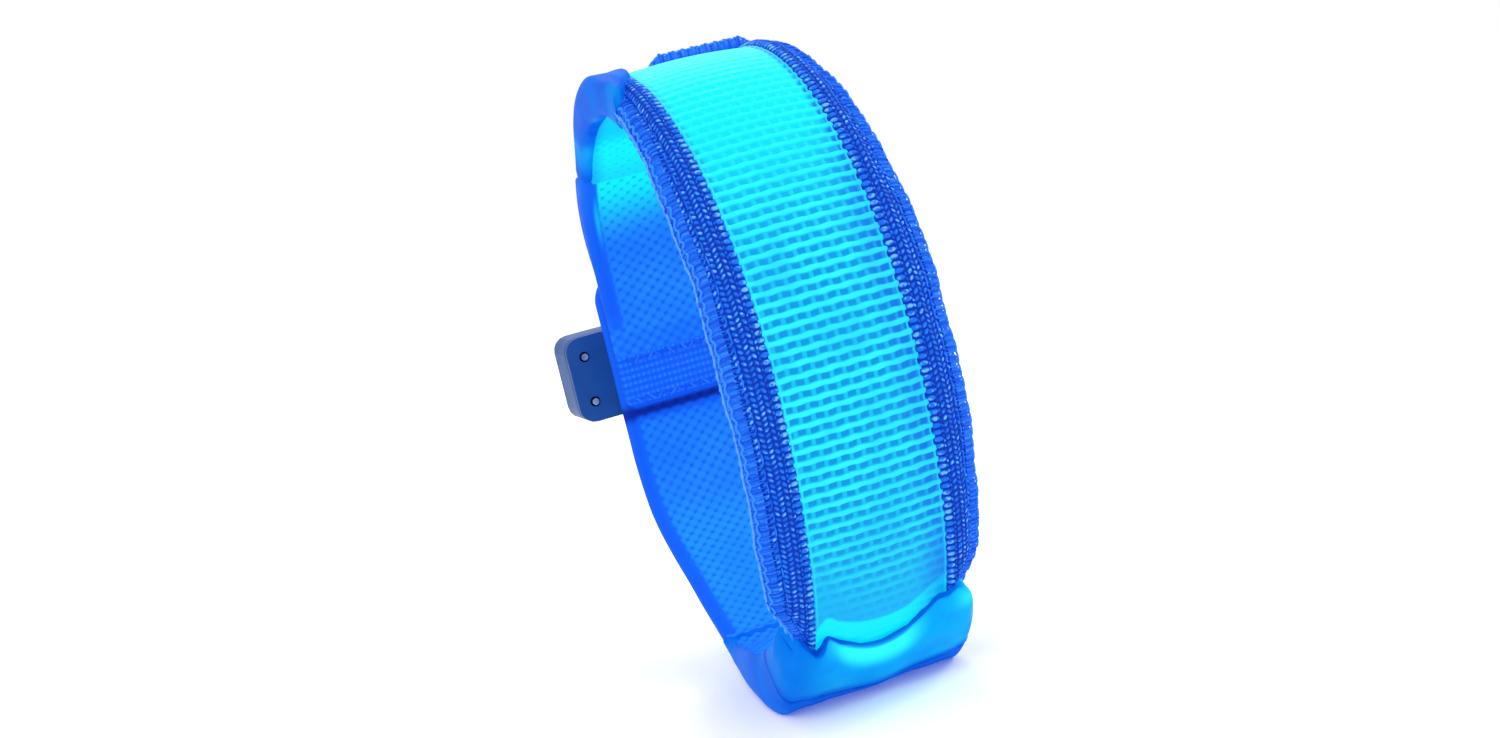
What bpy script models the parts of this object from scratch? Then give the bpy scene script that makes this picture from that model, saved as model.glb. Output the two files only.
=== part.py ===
"""Light-up fabric leg band: a lit window between two edge webbings, closed round the leg with hook and loop.

The band stands on its edge fold as a ring. Its axis runs along X, the lit window faces -Y, and Z is up.
All dimensions below are in millimetres, and MM turns them into Blender's metres.
"""

import math

import bmesh
import bpy
from mathutils import Matrix, Vector

MM = 0.001
GAP = 0.3

# The ring's middle line in the YZ plane: quarter ellipses joined by straight runs. The lower back hangs
# straighter than an ellipse, whose own slack would be 1.
HALF_HEIGHT = 46.6
FRONT_DEPTH = 39.0
BACK_DEPTH = 34.0
BACK_FLAT_HALF = 14.0
FOOT_FRONT = 12.0
FOOT_BACK = 7.5
LOWER_BACK_SLACK = 1.5

# Widths of the band, from its middle outwards.
WINDOW_HALF = 10.5
BAND_HALF_FRONT = 16.2
BAND_HALF_END = 13.6
OVERLOCK_WIDTH = 1.0
FOOT_HALF = 15.8
TOP_POCKET_HALF = 14.6
FLAP_HALF = 13.8
STRAP_HALF = 14.0
GUIDE_HALF = 8.9
REFLECTOR_HALF = 9.9
TAPE_HALF = 11.5
LINING_INSET = 0.4

# Layers across the band's thickness: offsets from the middle line, outwards positive.
LINING = (-2.2, -1.5)
REFLECTOR = (-1.2, -1.0)
GUIDE = (-0.7, 1.1)
MESH = (1.4, 1.9)
MESH_CROWN = 0.6
WEBBING = (-1.2, 1.9)
FOOT_COVER = (2.2, 3.4)
FOOT_LIP_LIFT = 1.3
TOP_COVER = (1.4, 3.0)
FLAP = (-2.6, -1.2)
LOOP_TAPE = (-0.9, -0.2)
FLAP_SINK = 1.2
HOOK_TAPE = (0.1, 0.8)
STRAP = (1.1, 2.5)
CORE = (-0.7, 0.7)

# Where the sections begin and end, as angles along the middle line (see ring_point).
WINDOW_START, WINDOW_END = -64.0, 98.0
BAND_START, BAND_END = -70.0, 103.0
GUIDE_START, GUIDE_END = -72.0, 104.0
FOOT_LIP, FOOT_REAR = -57.0, -128.0
STRAP_HINGE = -146.0
FLAP_HINGE = 132.0
FLAP_TIP = 189.0
TAB_START = 176.0
LOOP_START = 160.0
HOOK_START = -191.0
STRAP_TIP = -224.0
STRAP_SETTLED = -168.0
HINGE_CLEARANCE = 1.8
STATION_STEP = 4.0

# The wires beside the light guide and in the strap, and the small board and light at each end of the guide.
BAND_WIRE_ENDS = (-78.0, 110.0)
BAND_WIRE_X = 9.8
BAND_WIRE_OFFSET = 0.2
BAND_WIRE_RADIUS = 0.4
STRAP_WIRE_ENDS = (-174.0, -196.0)
STRAP_WIRE_X = 12.6
STRAP_WIRE_OFFSET = 0.6
STRAP_WIRE_RADIUS = 0.35
LAMP_OFFSET = 0.1
LAMP_BOARD_SIZE = (12.0, 6.0, 0.8)
LED_SIZE = (5.0, 2.4, 1.2)
LED_EDGE = 0.25
LAMP_ANGLES = {"top": (118.0, 108.5), "bottom": (-86.0, -76.5)}

# The control case on the back of the closing strap.
CASE_HALF_LENGTH = 21.0
CASE_HALF_HEIGHT = 7.5
CASE_CORNER = 2.6
CASE_WALL = 1.2
PLATE_BACK = STRAP[1] + GAP
PLATE_THICK = 1.2
SHELL_BACK = PLATE_BACK + PLATE_THICK + GAP
SHELL_FACE = SHELL_BACK + 7.6
BOARD_THICK = 0.8
BOARD_ENDS = (-15.6, 19.2)
BOARD_HALF_HEIGHT = 5.9
TRAY_FLOOR = SHELL_BACK + 1.8
TRAY_HEIGHT = 3.4
TRAY_LEFT = 8.2
CELL_RADIUS = 5.0
CELL_THICK = 2.5
CELL_CENTRE_X = 14.6
CELL_PLAY = 0.35
CELL_WINDOW_RADIUS = 4.0
CONTACT_HALF = 3.8
CONTACT_THICK = 0.4
BUTTON_X = -11.8
BUTTON_RADIUS = 4.0
BUTTON_PROUD = 1.2
BUTTON_TRAVEL = 0.6
BUTTON_FLANGE = 1.0
CHIP_X = -3.5
CHIP_SIZE = (5.0, 5.0, 1.0)
SWITCH_HALF = 3.0
SWITCH_HEIGHT = 1.8
PLUNGER_RADIUS = 1.5
PLUNGER_HEIGHT = 0.8
SCREW_X = -18.0
SCREW_Z = 4.0
SCREW_RADIUS = 0.6
SCREW_LENGTH = 5.2
POST_RADIUS = 1.7
BORE_RADIUS = 0.9
BORE_LENGTH = 8.4

RING_Z = HALF_HEIGHT + FOOT_COVER[1]
FRONT_EXTENT = FRONT_DEPTH + MESH[1] + MESH_CROWN
BACK_EXTENT = BACK_DEPTH + SHELL_FACE + BUTTON_PROUD
RING_Y = (FRONT_EXTENT - BACK_EXTENT) / 2.0


def clear_scene():
    for obj in list(bpy.data.objects):
        bpy.data.objects.remove(obj, do_unlink=True)


def make_material(name, colour, roughness, metallic=0.0, emission=0.0):
    material = bpy.data.materials.new(name)
    material.use_nodes = True
    shader = material.node_tree.nodes["Principled BSDF"]
    shader.inputs["Base Color"].default_value = (*colour, 1.0)
    shader.inputs["Roughness"].default_value = roughness
    shader.inputs["Metallic"].default_value = metallic
    shader.inputs["Emission Color"].default_value = (*colour, 1.0)
    shader.inputs["Emission Strength"].default_value = emission
    material.diffuse_color = (*colour, 1.0)
    return material


def ring_point(angle):
    """A point (y, z) on the middle line: 0 is the front, 90 the top, 180 the back, -90 to -110 the foot.

    Angles below -110 carry on up the back, so that 380 degrees make one round.
    """
    if angle < -110.0:
        return ring_point(angle + 380.0)
    if angle < -90.0:
        share = (-90.0 - angle) / 20.0
        y, z = -FOOT_FRONT + share * (FOOT_FRONT + FOOT_BACK), -HALF_HEIGHT
    elif angle < 0.0:
        turn = math.radians(angle)
        y = -FOOT_FRONT - (FRONT_DEPTH - FOOT_FRONT) * math.cos(turn)
        z = HALF_HEIGHT * math.sin(turn)
    elif angle < 90.0:
        turn = math.radians(angle)
        y, z = -FRONT_DEPTH * math.cos(turn), HALF_HEIGHT * math.sin(turn)
    elif angle < 160.0:
        turn = math.radians((angle - 90.0) * 90.0 / 70.0)
        y = BACK_DEPTH * math.sin(turn)
        z = BACK_FLAT_HALF + (HALF_HEIGHT - BACK_FLAT_HALF) * math.cos(turn)
    elif angle < 200.0:
        y, z = BACK_DEPTH, BACK_FLAT_HALF * (180.0 - angle) / 20.0
    else:
        turn = math.radians((angle - 200.0) * 90.0 / 70.0)
        y = FOOT_BACK + (BACK_DEPTH - FOOT_BACK) * abs(math.cos(turn)) ** LOWER_BACK_SLACK
        z = -BACK_FLAT_HALF - (HALF_HEIGHT - BACK_FLAT_HALF) * math.sin(turn)
    return Vector((0.0, y + RING_Y, z + RING_Z))


def ring_normal(angle):
    """The direction that points out of the ring at this angle."""
    along = ring_point(angle + 0.2) - ring_point(angle - 0.2)
    return Vector((0.0, -along.z, along.y)).normalized()


def band_half(angle):
    """Half the band's width: widest at the front, a little narrower towards its ends."""
    share = math.cos(math.radians(max(-90.0, min(90.0, angle))))
    return BAND_HALF_END + (BAND_HALF_FRONT - BAND_HALF_END) * share


def smooth(value, start, end):
    share = max(0.0, min(1.0, (value - start) / (end - start)))
    return share * share * (3.0 - 2.0 * share)


def finish_mesh(name, mesh, material, smooth_angle=40.0):
    mesh.materials.append(material)
    mesh.shade_smooth()
    mesh.set_sharp_from_angle(angle=math.radians(smooth_angle))
    obj = bpy.data.objects.new(name, mesh)
    bpy.context.scene.collection.objects.link(obj)
    return obj


def loft(name, start, end, section, material, step=STATION_STEP):
    """A strip along the ring: section(angle) gives its closed outline as (x, offset) pairs."""
    count = max(1, round(abs(end - start) / step))
    low, high = min(start, end), max(start, end)
    mesh_builder = bmesh.new()
    rings = []
    for index in range(count + 1):
        angle = low + (high - low) * index / count
        base, outward = ring_point(angle), ring_normal(angle)
        ring = []
        for x, offset in section(angle):
            place = base + outward * offset + Vector((x, 0.0, 0.0))
            ring.append(mesh_builder.verts.new(place * MM))
        rings.append(ring)
    size = len(rings[0])
    for first, second in zip(rings, rings[1:]):
        for index in range(size):
            after = (index + 1) % size
            mesh_builder.faces.new((first[index], first[after], second[after], second[index]))
    mesh_builder.faces.new(list(reversed(rings[0])))
    mesh_builder.faces.new(rings[-1])
    bmesh.ops.recalc_face_normals(mesh_builder, faces=mesh_builder.faces)
    mesh = bpy.data.meshes.new(name)
    mesh_builder.to_mesh(mesh)
    mesh_builder.free()
    return finish_mesh(name, mesh, material)


def flat_section(left, right, inner, outer):
    return [(left, inner), (right, inner), (right, outer), (left, outer)]


def crowned_section(half, inner, outer, crown, columns=6):
    """Flat inside, with an outer face that rises by crown in the middle."""
    outline = [(-half, inner), (half, inner)]
    for index in range(columns + 1):
        share = 1.0 - 2.0 * index / columns
        outline.append((half * share, outer + crown * (1.0 - share * share)))
    return outline


def bevelled_section(left, right, inner, outer, cut):
    """A rectangle with its two outer corners cut off."""
    return [
        (left, inner),
        (right, inner),
        (right, outer - cut),
        (right - cut, outer),
        (left + cut, outer),
        (left, outer - cut),
    ]


def layer(offsets, half):
    """The section of a plain layer that spans the band evenly."""
    return lambda angle: flat_section(-half, half, *offsets)


def round_rod(name, start, end, x, offset, radius, material, sides=8):
    outline = []
    for index in range(sides):
        turn = 2.0 * math.pi * index / sides
        outline.append((x + radius * math.cos(turn), offset + radius * math.sin(turn)))
    return loft(name, start, end, lambda angle: outline, material, step=8.0)


def local_frame(angle, offset):
    """A matrix whose X is the ring's axis, Y runs along the ring and Z points out of it."""
    outward = ring_normal(angle)
    along = outward.cross(Vector((1.0, 0.0, 0.0)))
    place = (ring_point(angle) + outward * offset) * MM
    matrix = Matrix((Vector((1.0, 0.0, 0.0)), along, outward)).transposed().to_4x4()
    matrix.translation = place
    return matrix


def box(name, matrix, size, material, bevel=0.0, round_axis=None):
    """A block of the given size in mm, centred on the matrix, with its edges or one axis' edges rounded."""
    mesh_builder = bmesh.new()
    bmesh.ops.create_cube(mesh_builder, size=1.0)
    bmesh.ops.scale(mesh_builder, vec=Vector(size) * MM, verts=mesh_builder.verts)
    if bevel:
        edges = [edge for edge in mesh_builder.edges if runs_along(edge, round_axis)]
        bmesh.ops.bevel(
            mesh_builder, geom=edges, offset=bevel * MM, segments=4 if round_axis is not None else 1,
            profile=0.5, affect="EDGES",
        )
    mesh = bpy.data.meshes.new(name)
    mesh_builder.to_mesh(mesh)
    mesh_builder.free()
    obj = finish_mesh(name, mesh, material)
    obj.matrix_world = matrix
    return obj


def runs_along(edge, axis):
    if axis is None:
        return True
    along = edge.verts[1].co - edge.verts[0].co
    return abs(along[axis]) > 0.9 * along.length


def cylinder(name, matrix, radius, height, material, sides=32, tip=None):
    """A cylinder, or a cone where tip gives another radius for its far end, centred on the matrix."""
    mesh_builder = bmesh.new()
    bmesh.ops.create_cone(
        mesh_builder, cap_ends=True, segments=sides, radius1=radius * MM,
        radius2=(radius if tip is None else tip) * MM, depth=height * MM,
    )
    mesh = bpy.data.meshes.new(name)
    mesh_builder.to_mesh(mesh)
    mesh_builder.free()
    obj = finish_mesh(name, mesh, material)
    obj.matrix_world = matrix
    return obj


def combine(target, other, operation):
    """Joins, or cuts away, a helper solid, which is then only a guide."""
    modifier = target.modifiers.new(other.name, "BOOLEAN")
    modifier.operation = operation
    modifier.object = other
    modifier.solver = "EXACT"
    other.hide_render = True
    other.display_type = "WIRE"


def attach(pivot, objects):
    """Hangs pieces, helpers included, on the empty that marks their joint."""
    for obj in objects:
        world = obj.matrix_world.copy()
        obj.parent = pivot
        obj.matrix_parent_inverse = pivot.matrix_world.inverted()
        obj.matrix_world = world


def make_pivot(name, place):
    pivot = bpy.data.objects.new(name, None)
    pivot.matrix_world = Matrix.Translation(place)
    pivot.empty_display_size = 0.008
    bpy.context.scene.collection.objects.link(pivot)
    return pivot


def clearance_angle(angle, distance):
    """The angle that lies this far along the ring from another, in mm."""
    rate = (ring_point(angle + 0.5) - ring_point(angle - 0.5)).length
    return angle + distance / rate


def make_band_layers(paint):
    """The lit front of the band: window mesh, light guide, reflector, lining and the two edges."""
    def window(angle):
        return crowned_section(WINDOW_HALF, *MESH, MESH_CROWN * smooth(angle, FOOT_LIP, FOOT_LIP + 12.0))

    loft("outer_mesh_cover", WINDOW_START, WINDOW_END, window, paint["window"])
    loft("light_guide", GUIDE_START, GUIDE_END, layer(GUIDE, GUIDE_HALF), paint["guide"])
    loft("reflector_film", GUIDE_START, GUIDE_END, layer(REFLECTOR, REFLECTOR_HALF), paint["film"])
    loft(
        "inner_mesh_lining", BAND_START, BAND_END,
        lambda angle: flat_section(
            LINING_INSET - band_half(angle), band_half(angle) - LINING_INSET, *LINING,
        ),
        paint["lining"],
    )
    for side, hand in (("left", -1.0), ("right", 1.0)):
        def webbing(angle, hand=hand):
            near, far = WINDOW_HALF + GAP, band_half(angle)
            ends = sorted((hand * near, hand * far))
            return bevelled_section(*ends, *WEBBING, 0.4)

        def overlock(angle, hand=hand):
            near = band_half(angle) + GAP
            ends = sorted((hand * near, hand * (near + OVERLOCK_WIDTH)))
            return bevelled_section(*ends, LINING[0], WEBBING[1] - 0.5, 0.3)

        loft(f"{side}_edge_webbing", BAND_START, BAND_END, webbing, paint["webbing"])
        loft(f"{side}_overlock_edge", BAND_START, BAND_END, overlock, paint["thread"])
        round_rod(f"{side}_band_wire", *BAND_WIRE_ENDS, hand * BAND_WIRE_X, BAND_WIRE_OFFSET,
                  BAND_WIRE_RADIUS, paint["wire"])


def foot_section(angle):
    """The foot pocket's cover: a soft bar, wider than the band, whose lip stands off the window."""
    lift = FOOT_LIP_LIFT * smooth(angle, FOOT_LIP - 14.0, FOOT_LIP)
    return bevelled_section(-FOOT_HALF, FOOT_HALF, FOOT_COVER[0] + lift, FOOT_COVER[1] + lift, 0.5)


def make_pockets(paint):
    """The two smooth pockets at the window's ends, each with a small board and its light."""
    loft("bottom_pocket_cover", FOOT_LIP, FOOT_REAR, foot_section, paint["pocket"])
    loft("bottom_pocket_lining", BAND_START - 4.0, FOOT_REAR, layer(LINING, BAND_HALF_END), paint["pocket"])
    strap_end = clearance_angle(STRAP_HINGE, HINGE_CLEARANCE)
    loft("base_strap", -96.0, strap_end, layer(CORE, BAND_HALF_END - LINING_INSET), paint["strap"])

    flap_start = clearance_angle(FLAP_HINGE, -HINGE_CLEARANCE)
    loft(
        "top_pocket_cover", BAND_END + 1.0, flap_start,
        lambda angle: bevelled_section(-TOP_POCKET_HALF, TOP_POCKET_HALF, *TOP_COVER, 0.7), paint["pocket"],
    )
    loft("top_pocket_lining", BAND_END + 1.0, flap_start,
         layer(LINING, TOP_POCKET_HALF - LINING_INSET), paint["pocket"])

    for name, (board_angle, led_angle) in LAMP_ANGLES.items():
        board = local_frame(board_angle, LAMP_OFFSET)
        box(f"{name}_led_board", board, LAMP_BOARD_SIZE, paint["board"])
        light = local_frame(led_angle, LAMP_OFFSET)
        box(f"{name}_led", light, LED_SIZE, paint["led"], bevel=LED_EDGE)


def strap_section(half, offsets):
    """A strap layer that leaves the middle line at the fold and settles outside the flap."""
    middle = (offsets[0] + offsets[1]) / 2.0
    thick = offsets[1] - offsets[0]

    def section(angle):
        shift = middle * smooth(-angle, -STRAP_HINGE, -STRAP_SETTLED)
        return flat_section(-half, half, shift - thick / 2.0, shift + thick / 2.0)

    return section


def make_upper_flap(paint):
    """The end that hangs from the top pocket, inside the closing strap."""
    start = clearance_angle(FLAP_HINGE, HINGE_CLEARANCE)

    def flap(angle):
        sink = FLAP_SINK * (1.0 - smooth(angle, start, LOOP_START))
        return flat_section(-FLAP_HALF, FLAP_HALF, FLAP[0] + sink, FLAP[1] + sink)

    pieces = [
        loft("upper_flap", start, TAB_START - 1.0, flap, paint["lining"]),
        loft("upper_end_tab", TAB_START, FLAP_TIP, layer(FLAP, FLAP_HALF), paint["webbing"]),
        loft("loop_tape", LOOP_START, FLAP_TIP, layer(LOOP_TAPE, TAPE_HALF), paint["tape"]),
    ]
    pivot = make_pivot("upper_flap_pivot", ring_point(FLAP_HINGE) * MM)
    attach(pivot, pieces)


def make_closing_strap(paint):
    """The strap that folds up from the foot and carries the hook tape and the case."""
    start = clearance_angle(STRAP_HINGE, -HINGE_CLEARANCE)
    return [
        loft("closing_strap", start, STRAP_TIP, strap_section(STRAP_HALF, STRAP), paint["strap"]),
        loft("hook_tape", HOOK_START, STRAP_TIP + 1.0, layer(HOOK_TAPE, TAPE_HALF), paint["tape"]),
        round_rod("strap_wire_pair", *STRAP_WIRE_ENDS, STRAP_WIRE_X, STRAP_WIRE_OFFSET,
                  STRAP_WIRE_RADIUS, paint["wire"]),
    ]


def case_matrix(x, z, offset):
    """A place on the case: x and z from the middle of the back flat, offset out of the band."""
    matrix = local_frame(180.0, offset)
    matrix.translation = Vector((x, BACK_DEPTH + RING_Y + offset, z + RING_Z)) * MM
    return matrix


def case_block(name, x_range, z_half, y_range, material, corner=0.0):
    """A block in the case, given by its ends, with upright corners rounded."""
    centre = (x_range[0] + x_range[1]) / 2.0
    matrix = case_matrix(centre, 0.0, (y_range[0] + y_range[1]) / 2.0)
    size = (x_range[1] - x_range[0], 2.0 * z_half, y_range[1] - y_range[0])
    return box(name, matrix, size, material, bevel=corner, round_axis=2 if corner else None)


def make_case(paint):
    """The control case: a base plate and a shell, with the board, contacts and screws between them."""
    length, height = CASE_HALF_LENGTH, CASE_HALF_HEIGHT
    plate = case_block(
        "case_base_plate", (-length, length), height, (PLATE_BACK, PLATE_BACK + PLATE_THICK),
        paint["case"], CASE_CORNER,
    )
    shell = case_block(
        "case_outer_shell", (-length, length), height, (SHELL_BACK, SHELL_FACE), paint["case"], CASE_CORNER,
    )
    hollow = case_block(
        "shell_hollow", (-length + CASE_WALL, length - CASE_WALL), height - CASE_WALL,
        (SHELL_BACK - 1.0, SHELL_FACE - CASE_WALL), paint["case"], CASE_CORNER - CASE_WALL,
    )
    combine(shell, hollow, "DIFFERENCE")
    slot = case_block(
        "tray_slot", (length - 2.0 * CASE_WALL, length + 1.0), height - CASE_WALL - 0.1,
        (TRAY_FLOOR - GAP, TRAY_FLOOR + TRAY_HEIGHT + GAP), paint["case"],
    )
    combine(shell, slot, "DIFFERENCE")
    button_hole = cylinder(
        "button_hole", case_matrix(BUTTON_X, 0.0, SHELL_FACE), BUTTON_RADIUS + GAP, 4.0, paint["case"],
    )
    combine(shell, button_hole, "DIFFERENCE")
    helpers = [hollow, slot, button_hole]
    screws = []
    for index, hand in enumerate((-1.0, 1.0), start=1):
        post_middle = (SHELL_BACK + GAP + SHELL_FACE - CASE_WALL / 2.0) / 2.0
        post_height = SHELL_FACE - CASE_WALL / 2.0 - SHELL_BACK - GAP
        post = cylinder(
            f"screw_post_{index}", case_matrix(SCREW_X, hand * SCREW_Z, post_middle), POST_RADIUS,
            post_height, paint["case"], sides=16,
        )
        combine(shell, post, "UNION")
        bore = cylinder(
            f"screw_bore_{index}", case_matrix(SCREW_X, hand * SCREW_Z, SHELL_BACK), BORE_RADIUS, BORE_LENGTH,
            paint["case"], sides=16,
        )
        combine(shell, bore, "DIFFERENCE")
        combine(plate, bore, "DIFFERENCE")
        screw = cylinder(
            f"case_screw_{index}", case_matrix(SCREW_X, hand * SCREW_Z, SHELL_BACK + 0.7), SCREW_RADIUS,
            SCREW_LENGTH, paint["steel"], sides=12,
        )
        screws.append(screw)
        helpers += [post, bore]

    board_back = SHELL_BACK
    board_front = board_back + BOARD_THICK
    board = case_block("control_board", BOARD_ENDS, BOARD_HALF_HEIGHT, (board_back, board_front),
                       paint["board"])
    switch_top = board_front + SWITCH_HEIGHT
    switch = case_block("tactile_switch", (BUTTON_X - SWITCH_HALF, BUTTON_X + SWITCH_HALF), SWITCH_HALF,
                        (board_front + GAP, switch_top), paint["switch"])
    plunger = cylinder("switch_plunger", case_matrix(BUTTON_X, 0.0, switch_top), PLUNGER_RADIUS,
                       2.0 * PLUNGER_HEIGHT, paint["switch"], sides=16)
    button_low = switch_top + PLUNGER_HEIGHT + BUTTON_TRAVEL + 0.2
    combine(switch, plunger, "UNION")
    chip = box("controller_chip", case_matrix(CHIP_X, 0.0, board_front + GAP + CHIP_SIZE[2] / 2.0),
               CHIP_SIZE, paint["switch"])
    contact_ends = (CELL_CENTRE_X - CONTACT_HALF, CELL_CENTRE_X + CONTACT_HALF)
    negative = case_block("negative_contact", contact_ends, 2.5,
                          (board_front + GAP, board_front + GAP + CONTACT_THICK), paint["steel"])
    contact_level = TRAY_FLOOR + TRAY_HEIGHT + GAP
    positive = case_block("positive_contact", contact_ends, 2.0,
                          (contact_level, contact_level + CONTACT_THICK), paint["steel"])
    fixed = [plate, shell, board, switch, plunger, chip, negative, positive, *screws, *helpers]

    button_middle = (button_low + SHELL_FACE + BUTTON_PROUD) / 2.0
    button = cylinder(
        "push_button_cap", case_matrix(BUTTON_X, 0.0, button_middle), BUTTON_RADIUS,
        SHELL_FACE + BUTTON_PROUD - button_low, paint["button"],
    )
    flange = cylinder(
        "button_flange", case_matrix(BUTTON_X, 0.0, button_low + 0.4), BUTTON_RADIUS + BUTTON_FLANGE, 0.8,
        paint["button"],
    )
    combine(button, flange, "UNION")
    return fixed, button, flange


def make_tray(paint):
    """The coin cell and the tray that draws it out sideways."""
    right = CASE_HALF_LENGTH
    tray_half = CASE_HALF_HEIGHT - CASE_WALL - 0.4
    tray = case_block("battery_tray", (TRAY_LEFT, right), tray_half,
                      (TRAY_FLOOR, TRAY_FLOOR + TRAY_HEIGHT), paint["case"])
    rim = 0.5
    pocket = cylinder(
        "cell_pocket", case_matrix(CELL_CENTRE_X, 0.0, TRAY_FLOOR + rim + 3.0), CELL_RADIUS + CELL_PLAY, 6.0,
        paint["case"], sides=40,
    )
    window = cylinder(
        "cell_window", case_matrix(CELL_CENTRE_X, 0.0, TRAY_FLOOR), CELL_WINDOW_RADIUS, 3.0, paint["case"],
        sides=32,
    )
    combine(tray, pocket, "DIFFERENCE")
    combine(tray, window, "DIFFERENCE")
    cell_middle = TRAY_FLOOR + rim + 0.15 + CELL_THICK / 2.0
    cell = cylinder(
        "coin_cell", case_matrix(CELL_CENTRE_X, 0.0, cell_middle), CELL_RADIUS, CELL_THICK, paint["steel"],
        sides=40,
    )
    return [tray, pocket, window, cell]


def make_paint():
    return {
        "window": make_material("window_mesh", (0.02, 0.62, 1.0), 0.55, emission=1.0),
        "guide": make_material("light_guide", (0.45, 0.9, 1.0), 0.2, emission=2.0),
        "film": make_material("reflector_film", (0.85, 0.9, 0.92), 0.2, 0.6),
        "lining": make_material("inner_mesh", (0.01, 0.22, 1.0), 0.7),
        "webbing": make_material("edge_webbing", (0.003, 0.09, 0.72), 0.75),
        "thread": make_material("overlock_thread", (0.01, 0.2, 0.9), 0.8),
        "pocket": make_material("smooth_pocket", (0.01, 0.3, 1.0), 0.35, emission=0.4),
        "strap": make_material("strap_fabric", (0.01, 0.2, 0.85), 0.6),
        "tape": make_material("hook_and_loop_tape", (0.01, 0.1, 0.5), 0.9),
        "case": make_material("case_plastic", (0.002, 0.07, 0.25), 0.45),
        "button": make_material("button_rubber", (0.004, 0.12, 0.4), 0.6),
        "board": make_material("circuit_board", (0.01, 0.22, 0.08), 0.5),
        "led": make_material("led_lens", (0.7, 0.95, 1.0), 0.15, emission=4.0),
        "wire": make_material("wire_insulation", (0.75, 0.75, 0.75), 0.45),
        "switch": make_material("black_plastic", (0.02, 0.02, 0.02), 0.4),
        "steel": make_material("nickel_steel", (0.7, 0.7, 0.68), 0.28, 1.0),
    }


def main():
    clear_scene()
    paint = make_paint()
    make_band_layers(paint)
    make_pockets(paint)
    make_upper_flap(paint)

    strap = make_closing_strap(paint)
    case, button, flange = make_case(paint)
    strap_pivot = make_pivot("closing_strap_pivot", ring_point(STRAP_HINGE) * MM)
    attach(strap_pivot, strap + case)

    button_pivot = make_pivot("push_button_pivot", case_matrix(BUTTON_X, 0.0, SHELL_FACE).translation)
    attach(strap_pivot, [button_pivot])
    attach(button_pivot, [button, flange])

    tray_pivot = make_pivot("battery_tray_pivot", case_matrix(CELL_CENTRE_X, 0.0, TRAY_FLOOR).translation)
    attach(strap_pivot, [tray_pivot])
    attach(tray_pivot, make_tray(paint))


main()
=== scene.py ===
"""The looks of the light-up leg band: woven, knitted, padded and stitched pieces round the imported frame.

The band stands as a ring. Lengths are in millimetres, and MM turns them into metres. A place on the band
is x, across the band, s, the distance along the ring's middle line from its front upwards, and an offset out
of it.
"""

import math

import bpy
import numpy as np
from mathutils import Matrix, Vector


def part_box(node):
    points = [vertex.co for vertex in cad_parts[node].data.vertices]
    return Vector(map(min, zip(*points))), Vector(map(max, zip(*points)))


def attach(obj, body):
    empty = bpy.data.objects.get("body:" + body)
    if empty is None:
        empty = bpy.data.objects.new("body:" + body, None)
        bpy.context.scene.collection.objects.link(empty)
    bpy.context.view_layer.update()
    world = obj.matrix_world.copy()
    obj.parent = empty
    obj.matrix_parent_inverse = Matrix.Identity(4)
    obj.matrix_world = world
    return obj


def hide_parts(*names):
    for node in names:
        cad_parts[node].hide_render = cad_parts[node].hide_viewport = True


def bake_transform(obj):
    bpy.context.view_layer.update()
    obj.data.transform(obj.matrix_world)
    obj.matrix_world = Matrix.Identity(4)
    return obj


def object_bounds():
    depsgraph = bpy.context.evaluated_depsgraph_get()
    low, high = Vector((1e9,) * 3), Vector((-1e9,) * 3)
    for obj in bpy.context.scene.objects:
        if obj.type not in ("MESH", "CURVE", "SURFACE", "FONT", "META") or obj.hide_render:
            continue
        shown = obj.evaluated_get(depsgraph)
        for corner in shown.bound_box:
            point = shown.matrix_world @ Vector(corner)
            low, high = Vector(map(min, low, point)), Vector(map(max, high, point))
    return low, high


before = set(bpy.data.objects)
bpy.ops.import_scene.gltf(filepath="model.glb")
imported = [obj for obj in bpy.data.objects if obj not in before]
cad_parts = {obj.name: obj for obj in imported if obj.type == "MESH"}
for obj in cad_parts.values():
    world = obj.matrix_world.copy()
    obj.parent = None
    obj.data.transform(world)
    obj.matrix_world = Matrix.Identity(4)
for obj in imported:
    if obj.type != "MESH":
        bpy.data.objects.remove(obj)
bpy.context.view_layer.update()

MM = 0.001

# The ring's middle line and the band's widths. They are the CAD part's, except that the lower back runs a
# little further forward here, which FOOT_BACK and LOWER_BACK_SLACK set.
HALF_HEIGHT = 46.6
FRONT_DEPTH = 39.0
BACK_DEPTH = 34.0
BACK_FLAT_HALF = 14.0
FOOT_FRONT = 12.0
FOOT_BACK = 5.2
LOWER_BACK_SLACK = 1.85
WINDOW_HALF = 10.5
BAND_HALF_FRONT = 16.2
BAND_HALF_END = 13.6
FOOT_HALF = 15.8
TOP_POCKET_HALF = 14.6
FLAP_HALF = 13.8
STRAP_HALF = 14.0
STRAP_EXIT_HALF = 13.0
LINING_HALF = 12.6
TAPE_HALF = 11.5
COVER_PROUD = 2.5

# Where sections begin and end, as angles along the middle line.
WINDOW_START, WINDOW_END = -66.0, 99.0
BAND_START, BAND_END = -70.0, 103.5
FOOT_LIP, FOOT_REAR = -57.0, -127.0
STRAP_HINGE, STRAP_TIP, STRAP_SETTLED = -146.0, -224.0, -168.0
FLAP_HINGE, FLAP_TIP, TAB_START = 132.0, 189.0, 176.0

# The fabrics' own sizes.
RIB_PITCH = 1.68
HOLE_PITCH = 1.9
WEAVE_PITCH = 0.82
BEAD_PITCH = 1.0
HEX_PITCH = 2.3
HEX_ROW = 0.98
THREAD = 0.17

# Where the webbings' running stitches lie, as a share of the way from the window to the rim.
STITCH_SHARE = 0.8

# Offsets: the rim's inner side, towards the leg, and the closed strap's middle.
RIM_BACK = -2.3
STRAP_OFFSET = 1.75

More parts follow.
